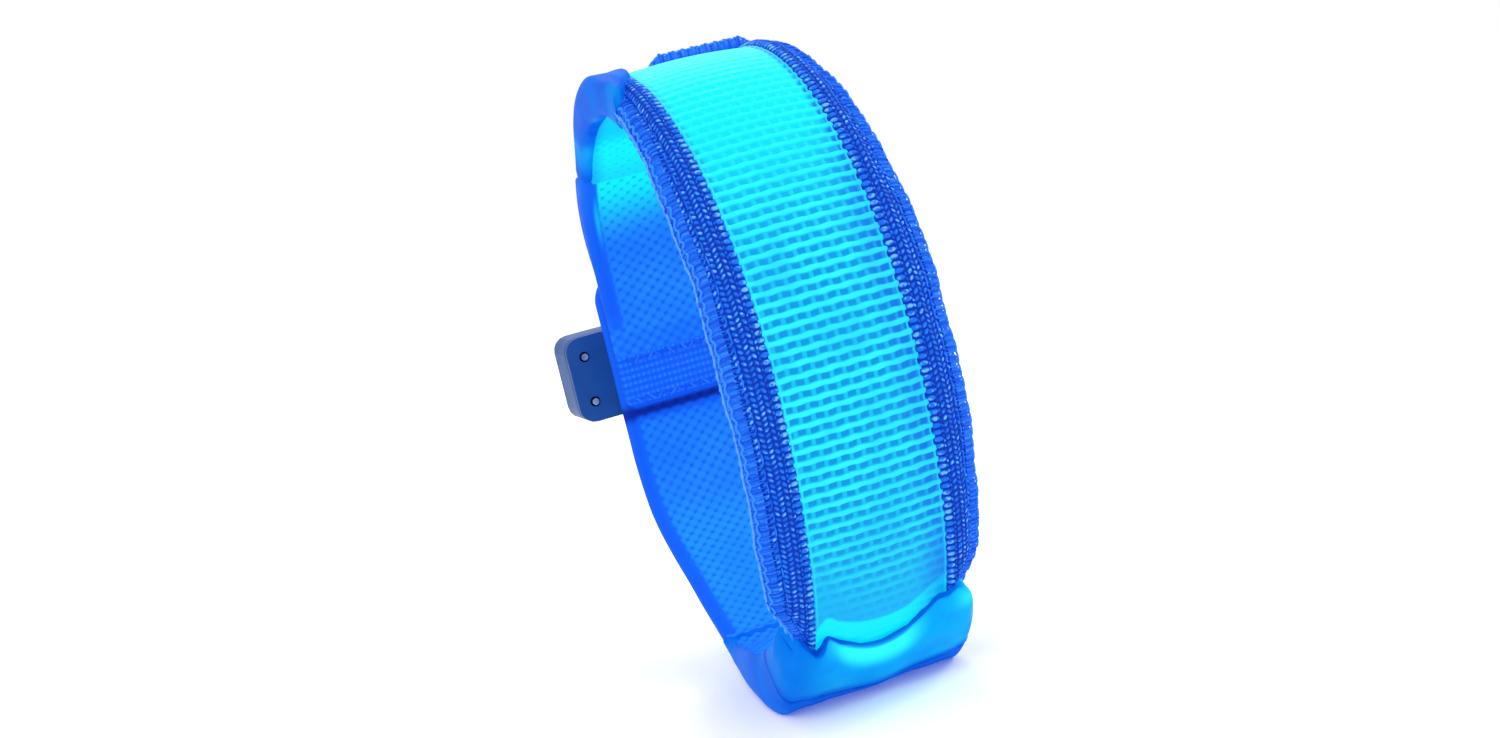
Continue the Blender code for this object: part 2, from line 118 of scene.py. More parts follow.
# The pockets' cloth simulation: how many rows and columns of a pad's border are held, and how it runs.
HELD_ROWS, HELD_COLUMNS = 5.0, 12.0
PUFF_PRESSURE = 5.0
PUFF_FRAMES = 14
PUFF_SCALE = 20.0
PUFF_EVENINGS = 12

COVER_LOW, COVER_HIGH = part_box("outer_mesh_cover")
RING_Y = COVER_LOW.y / MM + FRONT_DEPTH + COVER_PROUD
RING_Z = COVER_HIGH.z / MM - HALF_HEIGHT - COVER_PROUD


# ---- The ring's middle line ----

def middle_line(angle):
    """(y, z) for an array of angles: 0 is the front, 90 the top, 180 the back and -90 to -110 the foot."""
    angle = np.where(angle < -110.0, angle + 380.0, angle)
    turn = np.radians(angle)
    upper = np.radians((angle - 90.0) * 90.0 / 70.0)
    lower = np.radians((angle - 200.0) * 90.0 / 70.0)
    foot = (-90.0 - angle) / 20.0
    rise = HALF_HEIGHT - BACK_FLAT_HALF
    where = [angle < -90.0, angle < 0.0, angle < 90.0, angle < 160.0, angle < 200.0]
    y = np.select(where, [
        -FOOT_FRONT + foot * (FOOT_FRONT + FOOT_BACK),
        -FOOT_FRONT - (FRONT_DEPTH - FOOT_FRONT) * np.cos(turn),
        -FRONT_DEPTH * np.cos(turn),
        BACK_DEPTH * np.sin(upper),
        np.full_like(turn, BACK_DEPTH),
    ], FOOT_BACK + (BACK_DEPTH - FOOT_BACK) * np.abs(np.cos(lower)) ** LOWER_BACK_SLACK)
    z = np.select(where, [
        np.full_like(turn, -HALF_HEIGHT),
        HALF_HEIGHT * np.sin(turn),
        HALF_HEIGHT * np.sin(turn),
        BACK_FLAT_HALF + rise * np.cos(upper),
        BACK_FLAT_HALF * (180.0 - angle) / 20.0,
    ], -BACK_FLAT_HALF - rise * np.sin(lower))
    return np.stack([y + RING_Y, z + RING_Z], axis=-1)


LINE_ANGLES = np.arange(-236.0, 200.25, 0.5)
LINE = middle_line(LINE_ANGLES)
LINE_S = np.concatenate([[0.0], np.cumsum(np.hypot(*np.diff(LINE, axis=0).T))])
LINE_S -= np.interp(0.0, LINE_ANGLES, LINE_S)
LINE_TANGENT = np.gradient(LINE, LINE_S, axis=0)
LINE_TANGENT /= np.linalg.norm(LINE_TANGENT, axis=1, keepdims=True)


def along(angle):
    return float(np.interp(angle, LINE_ANGLES, LINE_S))


def spots(x, s, offset):
    """World places, in metres, for arrays of x, s and offset."""
    x, s, offset = np.broadcast_arrays(np.asarray(x, float), np.asarray(s, float), np.asarray(offset, float))
    out_y = -np.interp(s, LINE_S, LINE_TANGENT[:, 1])
    out_z = np.interp(s, LINE_S, LINE_TANGENT[:, 0])
    y = np.interp(s, LINE_S, LINE[:, 0]) + offset * out_y
    z = np.interp(s, LINE_S, LINE[:, 1]) + offset * out_z
    return np.stack([x, y, z], axis=-1) * MM


def line_point(angle):
    return Vector(spots(0.0, along(angle), 0.0))


def smooth(value, start, end):
    """Goes softly from 0 at start to 1 at end."""
    share = np.clip((value - start) / (end - start), 0.0, 1.0)
    return share * share * (3.0 - 2.0 * share)


def ramp(s, start, end):
    """Goes softly from 0 to 1 between two angles of the middle line."""
    return smooth(s, along(start), along(end))


def crest(value, place, width):
    """A rounded bump, 1 at its place, that fades over its width."""
    return np.exp(-(((value - place) / width) ** 2))


def band_half(s):
    """Half the band's width: widest at the front, a little narrower towards its ends."""
    angle = np.clip(np.interp(s, LINE_S, LINE_ANGLES), -90.0, 90.0)
    return BAND_HALF_END + (BAND_HALF_FRONT - BAND_HALF_END) * np.cos(np.radians(angle))


def wander(s, phase, length=17.0):
    """A slow, irregular value from about -1 to 1 along the band."""
    wave = s / length
    return (np.sin(wave * 6.28 + phase) + 0.6 * np.sin(wave * 14.7 + 2.1 * phase) +
            0.35 * np.sin(wave * 31.0 + 3.7 * phase)) / 1.95


# ---- Mesh makers ----

def keep_mesh(name, vertices, faces, values=None):
    """An object from numpy vertices and a list of faces, with the cloth's own coordinates as attributes."""
    mesh = bpy.data.meshes.new(name)
    mesh.from_pydata(vertices.reshape(-1, 3).tolist(), [], faces)
    for key, numbers in (values or {}).items():
        kind = "FLOAT_VECTOR" if numbers.ndim == 2 else "FLOAT"
        attribute = mesh.attributes.new(key, kind, "POINT")
        field = "vector" if numbers.ndim == 2 else "value"
        attribute.data.foreach_set(field, numbers.astype(np.float32).ravel())
    mesh.shade_smooth()
    mesh.set_sharp_from_angle(angle=math.radians(60.0))
    obj = bpy.data.objects.new(name, mesh)
    bpy.context.scene.collection.objects.link(obj)
    return obj


def read_places(mesh):
    """The mesh's vertices, one row each."""
    flat = np.zeros(len(mesh.vertices) * 3)
    mesh.vertices.foreach_get("co", flat)
    return flat.reshape(-1, 3)


def set_places(mesh, places):
    mesh.vertices.foreach_set("co", places.ravel())
    mesh.update()


def grid_faces(rows, columns, start=0, flip=False):
    corner = (np.arange(rows - 1)[:, None] * columns + np.arange(columns - 1)[None, :]).ravel() + start
    quads = np.stack([corner, corner + 1, corner + columns + 1, corner + columns], axis=1)
    return quads[:, ::-1] if flip else quads


def shell(name, x, s, outer, inner, relief=0.0, glow=0.0, plain_inside=False):
    """A closed sheet on a grid of x and s, rows along the band and columns across it.

    Its faces' offsets, its relief and its glow are arrays of that shape or single numbers. Relief and glow
    only
    set the colour: relief is mostly the cloth's height, with painted shade and painted highlights in places,
    and glow is painted light. With plain_inside its inner face is a single strip of quads, for layers whose
    inside never shows.
    """
    rows, columns = x.shape
    outer, inner, relief, glow = (np.broadcast_to(value, x.shape) for value in (outer, inner, relief, glow))
    picked = [0, columns - 1] if plain_inside else list(range(columns))
    back = len(picked)
    back_start = rows * columns
    vertices = np.concatenate([
        spots(x, s, outer).reshape(-1, 3), spots(x[:, picked], s[:, picked], inner[:, picked]).reshape(-1, 3),
    ])
    faces = grid_faces(rows, columns).tolist() + grid_faces(rows, back, back_start, flip=True).tolist()
    row = np.arange(rows - 1)
    first, last = row * columns, row * columns + columns - 1
    back_first, back_last = back_start + row * back, back_start + row * back + back - 1
    faces += np.stack([first, first + columns, back_first + back, back_first], axis=1).tolist()
    faces += np.stack([last, back_last, back_last + back, last + columns], axis=1).tolist()
    for edge, low in ((0, True), (rows - 1, False)):
        front_row = [edge * columns + column for column in range(columns)]
        back_row = [back_start + edge * back + column for column in range(back)]
        ring = back_row + front_row[::-1]
        faces.append(ring if low else ring[::-1])
    cloth = np.stack([x, s, outer], axis=-1)
    values = {
        "cloth": np.concatenate([cloth.reshape(-1, 3), cloth[:, picked].reshape(-1, 3)]),
        "relief": np.concatenate([relief.ravel(), relief[:, picked].ravel()]),
        "glow": np.concatenate([glow.ravel(), glow[:, picked].ravel()]),
    }
    return keep_mesh(name, vertices, faces, values)


def grid(start, end, left, right, step_along, step_across):
    """Arrays of x and s over a stretch of the band; left and right may depend on s."""
    low, high = min(start, end), max(start, end)
    rows = max(2, round((high - low) / step_along) + 1)
    s = np.linspace(low, high, rows)[:, None]
    left = left(s) if callable(left) else np.full_like(s, left)
    right = right(s) if callable(right) else np.full_like(s, right)
    columns = max(2, round(float(np.max(right - left)) / step_across) + 1)
    share = np.linspace(0.0, 1.0, columns)[None, :]
    x = left + (right - left) * share
    return x, np.broadcast_to(s, x.shape).copy()


def rounded_half(half, radius, start, end):
    """A half width, as a function of s, with rounded corners at its ends. None leaves an end square."""
    def width(s):
        result = np.full_like(s, half)
        for stop in (start, end):
            if stop is not None:
                inside = np.clip(radius - np.abs(s - stop), 0.0, radius)
                result = result - (radius - np.sqrt(np.maximum(radius**2 - inside**2, 0.0)))
        return result
    return width


def threads(name, paths, radius, sides):
    """Round threads along several open lines of world places, as one object."""
    turns = np.linspace(0.0, 2.0 * math.pi, sides, endpoint=False)
    vertices, faces, shades, start = [], [], [], 0
    for index, path in enumerate(paths):
        path = np.asarray(path, float)
        tangent = np.gradient(path, axis=0)
        tangent /= np.maximum(np.linalg.norm(tangent, axis=1, keepdims=True), 1e-12)
        guide = np.array([1.0, 0.0, 0.0]) if abs(tangent[0][0]) < 0.8 else np.array([0.0, 0.0, 1.0])
        side = np.cross(tangent, guide)
        side /= np.maximum(np.linalg.norm(side, axis=1, keepdims=True), 1e-12)
        up = np.cross(side, tangent)
        ends = np.ones(len(path))
        ends[0] = ends[-1] = 0.55
        ring = (side[:, None, :] * np.cos(turns)[None, :, None] +
                up[:, None, :] * np.sin(turns)[None, :, None])
        vertices.append((path[:, None, :] + ring * radius * MM * ends[:, None, None]).reshape(-1, 3))
        shades.append(np.full(len(path) * sides, (index * 0.618) % 1.0))
        count = len(path)
        for row in range(count - 1):
            low, high = start + row * sides, start + (row + 1) * sides
            faces += [[low + k, low + (k + 1) % sides, high + (k + 1) % sides, high + k]
                      for k in range(sides)]
        faces.append([start + k for k in reversed(range(sides))])
        faces.append([start + (count - 1) * sides + k for k in range(sides)])
        start += count * sides
    return keep_mesh(name, np.concatenate(vertices), faces, {"relief": np.concatenate(shades)})


def stitch_row(x, s, offset, length=2.4, gap=0.7, height=0.16):
    """Paths of running stitches along a line of places; x, s and offset are arrays or single numbers."""
    x, s, offset = np.broadcast_arrays(x, s, offset)
    walked = np.concatenate([[0.0], np.cumsum(np.hypot(np.diff(x), np.diff(s)))])
    paths = []
    for begin in np.arange(0.3, walked[-1] - length, length + gap):
        at = np.linspace(begin, begin + length, 6)
        lift = height * np.array([-0.9, 0.5, 1.0, 1.0, 0.5, -0.9])
        paths.append(spots(np.interp(at, walked, x), np.interp(at, walked, s),
                           np.interp(at, walked, offset) + lift))
    return paths


# ---- Weaves, as heights from 0 to 1 ----

def ribbed_mesh(x, s):
    """The window's knit: ribs across the band, with rows of holes between them, each row shifted a little."""
    row = np.floor(s / RIB_PITCH + 0.5)
    sway = 0.035 * np.sin(x * 1.9 + row * 1.3)
    rib = 0.5 + 0.5 * np.cos(2.0 * math.pi * (s / RIB_PITCH + sway + 0.5))
    rib = smooth(rib, 0.18, 0.82)
    bridge = 0.5 + 0.5 * np.cos(2.0 * math.pi * (x / HOLE_PITCH + 0.31 * row + 0.05 * np.sin(row * 2.7)))
    bridge = smooth(bridge, 0.50, 0.95)
    return np.maximum(rib, 0.55 * bridge)


def knit_columns(x, s, phase):
    """The webbing's weave: columns of small slanted loops that lean to alternate sides."""
    column = np.floor(x / WEAVE_PITCH)
    across = x / WEAVE_PITCH - column - 0.5
    lean = np.where(column % 2 == 0, 0.6, -0.45)
    step = s / WEAVE_PITCH * (1.0 + 0.13 * np.sin(column * 2.4)) + 0.37 * column + phase + lean * across
    down = step - np.floor(step) - 0.5
    chance = np.sin(np.floor(step) * 12.99 + column * 78.23) * 43758.5
    chance = chance - np.floor(chance)
    bump = 1.0 - ((across - 0.14 * (chance - 0.5)) / 0.5) ** 2 - (down / 0.42) ** 2
    return np.sqrt(np.clip(bump, 0.0, 1.0)) * (0.62 + 0.38 * chance)


def bead_column(from_edge, s):
    """The column of rounded loops where the webbing meets the window, from_edge in mm from that edge."""
    across = (from_edge - 0.75) / 0.78
    step = s / BEAD_PITCH
    down = (step - np.floor(step) - 0.5) / 0.42
    return np.sqrt(np.clip(1.0 - across**2 - down**2, 0.0, 1.0))


def hex_mesh(x, s):
    """Staggered round bumps, as on the soft spacer mesh inside the band."""
    best = np.zeros_like(x)
    for hop in (-1, 0, 1):
        row = np.round(s / HEX_ROW) + hop
        across = x / HEX_PITCH + np.where(row % 2 == 0, 0.0, 0.5)
        dx = (across - np.round(across)) * HEX_PITCH
        ds = s - row * HEX_ROW
        best = np.maximum(best, 1.0 - (dx / 0.98) ** 2 - (ds / 0.86) ** 2)
    return np.sqrt(np.clip(best, 0.0, 1.0))


# ---- Materials ----

def tint(code):
    """The linear colour of a web colour such as 35D6FF."""
    channels = [int(code[index:index + 2], 16) / 255.0 for index in (0, 2, 4)]
    return tuple(c / 12.92 if c <= 0.04045 else ((c + 0.055) / 1.055) ** 2.4 for c in channels) + (1.0,)


class Look:
    """A material, and short ways to add nodes to it."""

    def __init__(self, name, roughness=0.7, metallic=0.0, coat=0.0, specular=0.5):
        self.material = bpy.data.materials.new(name)
        self.material.use_nodes = True
        self.tree = self.material.node_tree
        self.shader = self.tree.nodes["Principled BSDF"]
        for socket, value in (
            ("Roughness", roughness), ("Metallic", metallic), ("Coat Weight", coat), ("Coat Roughness", 0.1),
            ("Specular IOR Level", specular),
        ):
            self.shader.inputs[socket].default_value = value

    def put(self, socket, value):
        """Sets a node's socket to a number or colour, or links it to another node's output."""
        if isinstance(value, bpy.types.NodeSocket):
            self.tree.links.new(value, socket)
        else:
            socket.default_value = value

    def node(self, kind, inputs, output=0, **settings):
        """Adds a shader node with its settings and inputs, and returns one of its outputs."""
        node = self.tree.nodes.new("ShaderNode" + kind)
        for name, value in settings.items():
            setattr(node, name, value)
        for key, value in inputs.items():
            self.put(node.inputs[key], value)
        return node.outputs[output]

    def mark(self, name):
        return self.node("Attribute", {}, "Vector" if name == "cloth" else "Fac", attribute_name=name)

    def axis(self, name, vector):
        return self.node("SeparateXYZ", {0: vector}, name)

    def place(self):
        return self.node("TexCoord", {}, "Object")

    def maths(self, operation, first, second):
        return self.node("Math", {0: first, 1: second}, operation=operation)

    def fade(self, value, low, high, to_low=0.0, to_high=1.0):
        numbers = dict(enumerate((value, low, high, to_low, to_high)))
        return self.node("MapRange", numbers, interpolation_type="SMOOTHSTEP")

    def noise(self, vector, scale, detail=2.0, rough=0.5):
        return self.node("TexNoise", {"Vector": vector, "Scale": scale, "Detail": detail, "Roughness": rough})

    def stretch(self, vector, scale):
        return self.node("Mapping", {"Vector": vector, "Scale": scale})

    def mix(self, share, first, second):
        return self.node("Mix", {"Factor": share, 6: first, 7: second}, 2, data_type="RGBA")

    def bump(self, height, strength, distance):
        normal = self.node("Bump", {"Height": height, "Strength": strength, "Distance": distance})
        self.put(self.shader.inputs["Normal"], normal)

    def colour(self, value):
        self.put(self.shader.inputs["Base Color"], value)

    def light(self, value, strength):
        self.put(self.shader.inputs["Emission Color"], value)
        self.put(self.shader.inputs["Emission Strength"], strength)

    def rough(self, value):
        self.put(self.shader.inputs["Roughness"], value)

    def cloth_light(self, body, shade, strength, dark="00040C"):
        """Cloth that gives part of its colour as painted light, through emission, over a base darkened by
        shade.
        """
        self.colour(self.mix(shade, body, tint(dark)))
        self.light(body, strength)

    def blotches(self, body, vector, scale, fade, code):
        """Soft patches of another colour, where fade gives the noise's two levels and the most of it."""
        low, high, share = fade
        return self.mix(self.fade(self.noise(vector, scale, 2.0), low, high, 0.0, share), body, tint(code))


def window_look():
    """Lit knit: cyan ribs, bluer holes, and a colour that goes to pure cyan where the lights are near."""
    look = Look("window_mesh", roughness=0.6, specular=0.12)
    cloth, relief, glow = look.mark("cloth"), look.mark("relief"), look.mark("glow")
    fibre = look.noise(look.stretch(cloth, (3.0, 14.0, 1.0)), 1.0, 3.0)
    depth = look.maths("ADD", relief, look.maths("MULTIPLY", look.maths("SUBTRACT", fibre, 0.5), 0.22))
    body = look.mix(look.fade(depth, 0.08, 0.5), tint("0098DC"), tint("06C2F2"))
    body = look.mix(look.fade(depth, 0.55, 0.95), body, tint("2AEEFF"))
    body = look.blotches(body, cloth, 0.16, (0.35, 0.75, 0.3), "0CA8EC")
    low = look.fade(look.axis("Y", cloth), along(-56.0), along(-10.0), 0.6, 0.0)
    body = look.mix(low, body, tint("16A8F0"))
    body = look.mix(look.fade(glow, 0.0, 1.0, 0.0, 0.92), body, tint("02F0FF"))
    # dim: painted shade, the light falling off towards the window's right side, less where it glows and on
    # the raised ribs.
    dim = look.fade(look.axis("X", cloth), 4.5, 10.4, 0.0, 0.75)
    dim = look.maths("MULTIPLY", dim, look.fade(glow, 0.3, 0.95, 1.0, 0.0))
    dim = look.maths("MULTIPLY", dim, look.fade(depth, 0.35, 0.9, 1.0, 0.25))
    body = look.mix(dim, body, tint("0C6CE2"))
    look.cloth_light(body, 0.6, 0.6, "000308")
    look.rough(look.fade(fibre, 0.3, 0.7, 0.42, 0.62))
    look.bump(fibre, 0.35, 0.00006)
    return look.material


def webbing_look(name="edge_webbing", low="0034B4", high="1478F4", glint="74C0FF"):
    """Dark woven yarn whose raised loops are lighter, with painted highlights on a few of them."""
    look = Look(name, roughness=0.6, specular=0.1)
    cloth, relief = look.mark("cloth"), look.mark("relief")
    yarn = look.noise(look.stretch(cloth, (9.0, 9.0, 1.0)), 1.0, 3.0)
    body = look.mix(look.fade(relief, 0.1, 0.85), tint(low), tint(high))
    body = look.blotches(body, cloth, 0.35, (0.3, 0.7, 0.35), low)
    # The dots put painted highlights, glints of light, on a few of the raised loops.
    dots = look.noise(look.stretch(cloth, (1.1, 1.3, 1.0)), 1.0, 1.0)
    lit = look.maths("MULTIPLY", look.fade(dots, 0.46, 0.62), look.fade(relief, 0.55, 0.85))
    body = look.mix(look.maths("MULTIPLY", lit, 0.85), body, tint(glint))
    look.cloth_light(body, 0.35, 0.32)
    look.rough(look.fade(yarn, 0.3, 0.7, 0.42, 0.68))
    look.bump(yarn, 0.4, 0.00008)
    return look.material


def thread_look(name, low, high, light=0.3):
    """Twisted sewing thread; each stitch has its own shade."""
    look = Look(name, roughness=0.6, specular=0.12)
    twist = look.noise(look.stretch(look.place(), (5200.0, 5200.0, 5200.0)), 1.0, 2.0)
    body = look.mix(look.fade(look.mark("relief"), 0.0, 1.0), tint(low), tint(high))
    body = look.mix(look.fade(twist, 0.35, 0.65, 0.0, 0.5), body, tint(low))
    look.cloth_light(body, 0.3, light)
    look.bump(twist, 0.35, 0.00005)
    return look.material


def lining_look(name="inner_lining", low="0A62F4", high="1E88FF", lit="04F4FF"):
    """Soft spacer mesh with round bumps, lit where the lights' pockets are near."""
    look = Look(name, roughness=0.7, specular=0.1)
    cloth, relief, glow = look.mark("cloth"), look.mark("relief"), look.mark("glow")
    fuzz = look.noise(look.stretch(cloth, (6.0, 6.0, 1.0)), 1.0, 3.0)
    body = look.mix(look.fade(relief, 0.15, 0.95), tint(low), tint(high))
    body = look.blotches(body, cloth, 0.12, (0.3, 0.7, 0.4), "0A6CF6")
    # Below zero, relief paints shade: darkest on the painted shadow line where the strap passes under the
    # tab's end.
    body = look.mix(look.fade(relief, -0.8, 0.0, 1.0, 0.0), body, tint("0028A0"))
    bright = look.mix(look.fade(relief, 0.0, 0.8), tint("02BCFF"), tint(lit))
    body = look.mix(look.fade(glow, 0.0, 1.0), body, bright)
    look.cloth_light(body, look.fade(glow, 0.0, 1.0, 0.35, 0.7), look.fade(glow, 0.0, 1.0, 0.34, 0.75))
    look.rough(look.fade(fuzz, 0.3, 0.7, 0.5, 0.75))
    look.bump(fuzz, 0.35, 0.00008)
    return look.material


def pocket_look():
    """Smooth glossy film-faced fabric, its gloss, light and shade painted: bright near its light, with
    painted highlights, and painted darker blue towards its edges.
    """
    look = Look("smooth_pocket", roughness=0.42, specular=0.01)
    cloth, relief, glow = look.mark("cloth"), look.mark("relief"), look.mark("glow")
    cloudy = look.noise(look.stretch(cloth, (0.22, 0.3, 0.2)), 1.0, 3.0)
    fine = look.noise(look.stretch(cloth, (7.0, 7.0, 1.0)), 1.0, 2.0)
    # Here relief is painted light and shade only: light and painted highlights above 0, painted shadow lines
    # below 0.
    body = look.mix(look.fade(relief, 0.0, 1.0), tint("0460E8"), tint("0AB2FA"))
    body = look.mix(look.fade(relief, -0.5, 0.0, 0.8, 0.0), body, tint("0040B8"))
    body = look.mix(look.fade(cloudy, 0.35, 0.7, 0.0, 0.4), body, tint("1288FA"))
    body = look.mix(look.fade(glow, 0.0, 1.0), body, tint("2CEAFF"))
    look.cloth_light(body, 0.5, look.fade(glow, 0.0, 1.0, 0.42, 0.72))
    look.rough(look.fade(cloudy, 0.3, 0.7, 0.34, 0.5))
    look.bump(fine, 0.18, 0.00006)
    return look.material


def fuzzy_look(name, low, high):
    """Hook or loop tape: short nap, dark between its fibres."""
    look = Look(name, roughness=0.9, specular=0.1)
    cloth = look.mark("cloth")
    nap = look.noise(look.stretch(cloth, (4.5, 4.5, 1.0)), 1.0, 4.0, 0.65)
    look.colour(look.mix(look.fade(nap, 0.3, 0.7), tint(low), tint(high)))
    look.bump(nap, 0.8, 0.0003)
    return look.material


def plastic_look(name, base, worn, roughness=0.4, grain=2600.0, strength=0.16):
    """Moulded plastic: fine spark grain, slight cloudiness and rubbed, paler edges."""
    look = Look(name, roughness=roughness, specular=0.3)
    place = look.place()
    texture = look.noise(place, grain, 2.0)
    cloudy = look.noise(place, 90.0, 3.0)
    rub = look.tree.nodes.new("ShaderNodeNewGeometry").outputs["Pointiness"]
    body = look.mix(look.fade(cloudy, 0.3, 0.75, 0.0, 0.3), tint(base), tint(worn))
    body = look.mix(look.fade(rub, 0.52, 0.62, 0.0, 0.65), body, tint(worn))
    look.colour(body)
    look.rough(look.fade(cloudy, 0.3, 0.7, roughness - 0.08, roughness + 0.1))
    look.bump(texture, strength, 0.00005)
    return look.material


def metal_look(name, base, dark, roughness=0.28, stretch=(300.0, 9000.0, 300.0)):
    look = Look(name, roughness=roughness, metallic=1.0)
    brushed = look.noise(look.stretch(look.place(), stretch), 1.0, 3.0)
    look.colour(look.mix(look.fade(brushed, 0.3, 0.7), tint(dark), tint(base)))
    look.rough(look.fade(brushed, 0.3, 0.7, roughness, roughness + 0.14))
    look.bump(brushed, 0.12, 0.00003)
    return look.material


def glowing_look(name, base, light, strength, roughness=0.2):
    """Clear or diffusing plastic with light in it, a little uneven."""
    look = Look(name, roughness=roughness, coat=0.3)
    cloudy = look.noise(look.place(), 240.0, 2.0)
    body = look.mix(look.fade(cloudy, 0.3, 0.7), tint(base), tint(light))
    look.colour(body)
    look.light(body, strength)
    look.rough(look.fade(cloudy, 0.3, 0.7, roughness, roughness + 0.15))
    return look.material


def board_look():
    """Green solder mask with faint copper tracks under it."""
    look = Look("circuit_board", roughness=0.35, coat=0.4)
    place = look.place()
    tracks = look.tree.nodes.new("ShaderNodeTexBrick")
    look.put(tracks.inputs["Vector"], look.stretch(place, (620.0, 620.0, 620.0)))
    tracks.inputs["Mortar Size"].default_value = 0.09
    tracks.inputs["Color1"].default_value = tint("0B5A2A")
    tracks.inputs["Color2"].default_value = tint("0D6630")
    tracks.inputs["Mortar"].default_value = tint("2E8C4A")
    mottle = look.noise(place, 900.0, 2.0)
    look.colour(look.mix(look.fade(mottle, 0.4, 0.7, 0.0, 0.35), tracks.outputs["Color"], tint("06401C")))
    look.bump(tracks.outputs["Fac"], 0.3, 0.00004)
    return look.material


def floor_look():
    look = Look("floor", roughness=0.8, specular=0.1)
    mottle = look.noise(look.place(), 40.0, 3.0)
    look.colour(look.mix(look.fade(mottle, 0.3, 0.7), tint("F9F9F9"), tint("FCFCFC")))
    look.light(tint("FFFFFF"), 0.04)
    return look.material


def dress(obj, material, body, stands_for=()):
    """Gives a new piece its material and its body, and hides the CAD nodes that it stands for."""
    obj.data.materials.clear()
    obj.data.materials.append(material)
    if body:
        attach(obj, body)
    if stands_for:
        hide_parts(*stands_for)
    return obj


def sew(name, paths, radius, material, body, sides=6):
    """Threads along paths, as a finished piece."""
    dress(threads(name, paths, radius, sides), material, body)


# ---- The band's lit front ----

S_WINDOW = (along(WINDOW_START), along(WINDOW_END))
S_BAND = (along(BAND_START), along(BAND_END))
S_LIP = along(FOOT_LIP)
S_HEM = along(-71.8)


def lip_line(x):
    """s of the foot pocket's upper edge: a smile, with a dip at the left webbing's tip."""
    dip = 1.8 * crest(x, -11.2, 1.4) - 0.8 * crest(x, -8.6, 1.3)
    smile = 0.5 - 0.5 * np.cos(math.pi * np.clip(np.abs(x) / 14.0, 0.0, 1.0))
    return S_LIP - 0.1 + 5.6 * smile + 2.0 * smooth(x, 3.0, 12.0) - dip


def make_window():
    start, end = S_WINDOW
    x, s = grid(start, end, -WINDOW_HALF - 0.3, WINDOW_HALF + 0.3, 0.17, 0.2)
    lip = lip_line(x)
    top_fade = 1.0 - 0.85 * ramp(s, 46.0, 74.0)
    low_fade = 0.25 + 0.75 * smooth(s, lip + 4.0, lip + 20.0)
    detail = top_fade * low_fade
    edge = np.abs(x)
    # welt: a raised cord along the window's edges, which through relief also gets a bright colour, a painted
    # light leak.
    welt = crest(edge, WINDOW_HALF - 0.15, 0.22)
    weave = ribbed_mesh(x, s)
    crown = 0.6 * (1.0 - (x / WINDOW_HALF) ** 2).clip(0.0)
    crown = crown * smooth(s, S_LIP - 1.0, S_LIP + 9.0)
    outer = 1.75 + crown + 0.44 * detail * weave + 0.25 * (1.0 - detail) + 0.22 * welt
    outer = outer + 0.12 * wander(s, 1.0) * (1.0 - (x / WINDOW_HALF) ** 2)
    # The glow is painted light from the LEDs: a bright crescent just above the foot's lip, and a brightening
    # towards the top.
    crescent = 4.5 - 2.3 * (x / WINDOW_HALF) ** 2
    arc = (1.0 - smooth(s, lip + crescent, lip + crescent + 1.0)) * (1.0 - 0.45 * smooth(x, 0.0, 9.0))
    top = ramp(s, 10.0, 68.0) * (1.0 - 0.7 * smooth(edge, 9.2, 10.4))
    glow = np.maximum(arc, top)
    relief = np.maximum(weave * detail + 0.55 * (1.0 - detail) * (1.0 - 0.35 * (1.0 - low_fade)), welt)
    window = shell("window_cover", x, s, outer, 1.3, relief, glow, plain_inside=True)
    dress(window, window_look(), "light_band", ["outer_mesh_cover"])


def rim_flare(hand, s):
    """How far the rim stands out near the top, where the right edge is stretched over the pocket's end."""
    lift = ramp(s, 58.0, 80.0) * (1.0 - ramp(s, 97.0, 112.0))
    return lift * (0.9 if hand > 0 else 0.2)


def rim_edge(hand, s):
    """x of the webbing's outer edge, which draws in where the foot pocket holds the band."""
    drawn = 2.9 * (1.0 - smooth(s, S_LIP + 2.5, S_LIP + 13.0))
    return hand * (band_half(s) - drawn + 0.28 * wander(s, 1.7 * hand + 2.0, 26.0))


def webbing_face(hand, s, share):
    """The offset of the webbing's face, where share goes from 0 at the window to 1 at the rim."""
    crown = 0.45 * np.sin(math.pi * np.clip(share * 0.8 + 0.15, 0.0, 1.0))
    base = 1.85 + crown - 1.15 * smooth(share, 0.45, 1.0) + rim_flare(hand, s) * share**1.5
    return base + 0.14 * wander(s, 2.0 + hand) * share


def make_webbing(hand, side, material):
    start, end = S_BAND
    near = hand * (WINDOW_HALF - 0.05)
    sides = (near, lambda s: rim_edge(hand, s))
    x, s = grid(start, end, *sides[::int(hand)], 0.15, 0.15)
    from_edge = np.abs(x) - WINDOW_HALF
    width = np.abs(rim_edge(hand, s)) - WINDOW_HALF
    share = np.clip(from_edge / width, 0.0, 1.0)
    weave = np.where(from_edge < 1.45, bead_column(from_edge, s), knit_columns(np.abs(x), s, 0.2 * hand))
    ends = smooth(s, start, start + 2.0) * (1.0 - smooth(s, end - 2.0, end))
    edge_round = 0.5 * (1.0 - np.sqrt(1.0 - np.clip((0.4 - from_edge) / 0.4, 0.0, 1.0) ** 2))
    outer = webbing_face(hand, s, share) + 0.34 * weave * (0.3 + 0.7 * ends) - edge_round
    inner = np.minimum(-1.1, outer - 0.8)
    webbing = shell(f"{side}_webbing", x, s, outer, inner, weave, plain_inside=True)
    dress(webbing, material, "light_band", [f"{side}_edge_webbing"])


def rim_offset(hand, s):
    """The offset of the webbing's face at the rim."""
    return 1.05 + rim_flare(hand, s) + 0.14 * wander(s, 2.0 + hand)


def rim_levels(hand, s, back=RIM_BACK):
    """The middle of the rim, as an offset, and its reach to either side of that."""
    face = rim_offset(hand, s)
    return (face + back) / 2.0, (face - back) / 2.0


def rim_scallop(hand, s):
    return 0.16 * np.sin(2.0 * math.pi * s / 1.9) + 0.2 * wander(s, 5.0 + hand, 9.0)


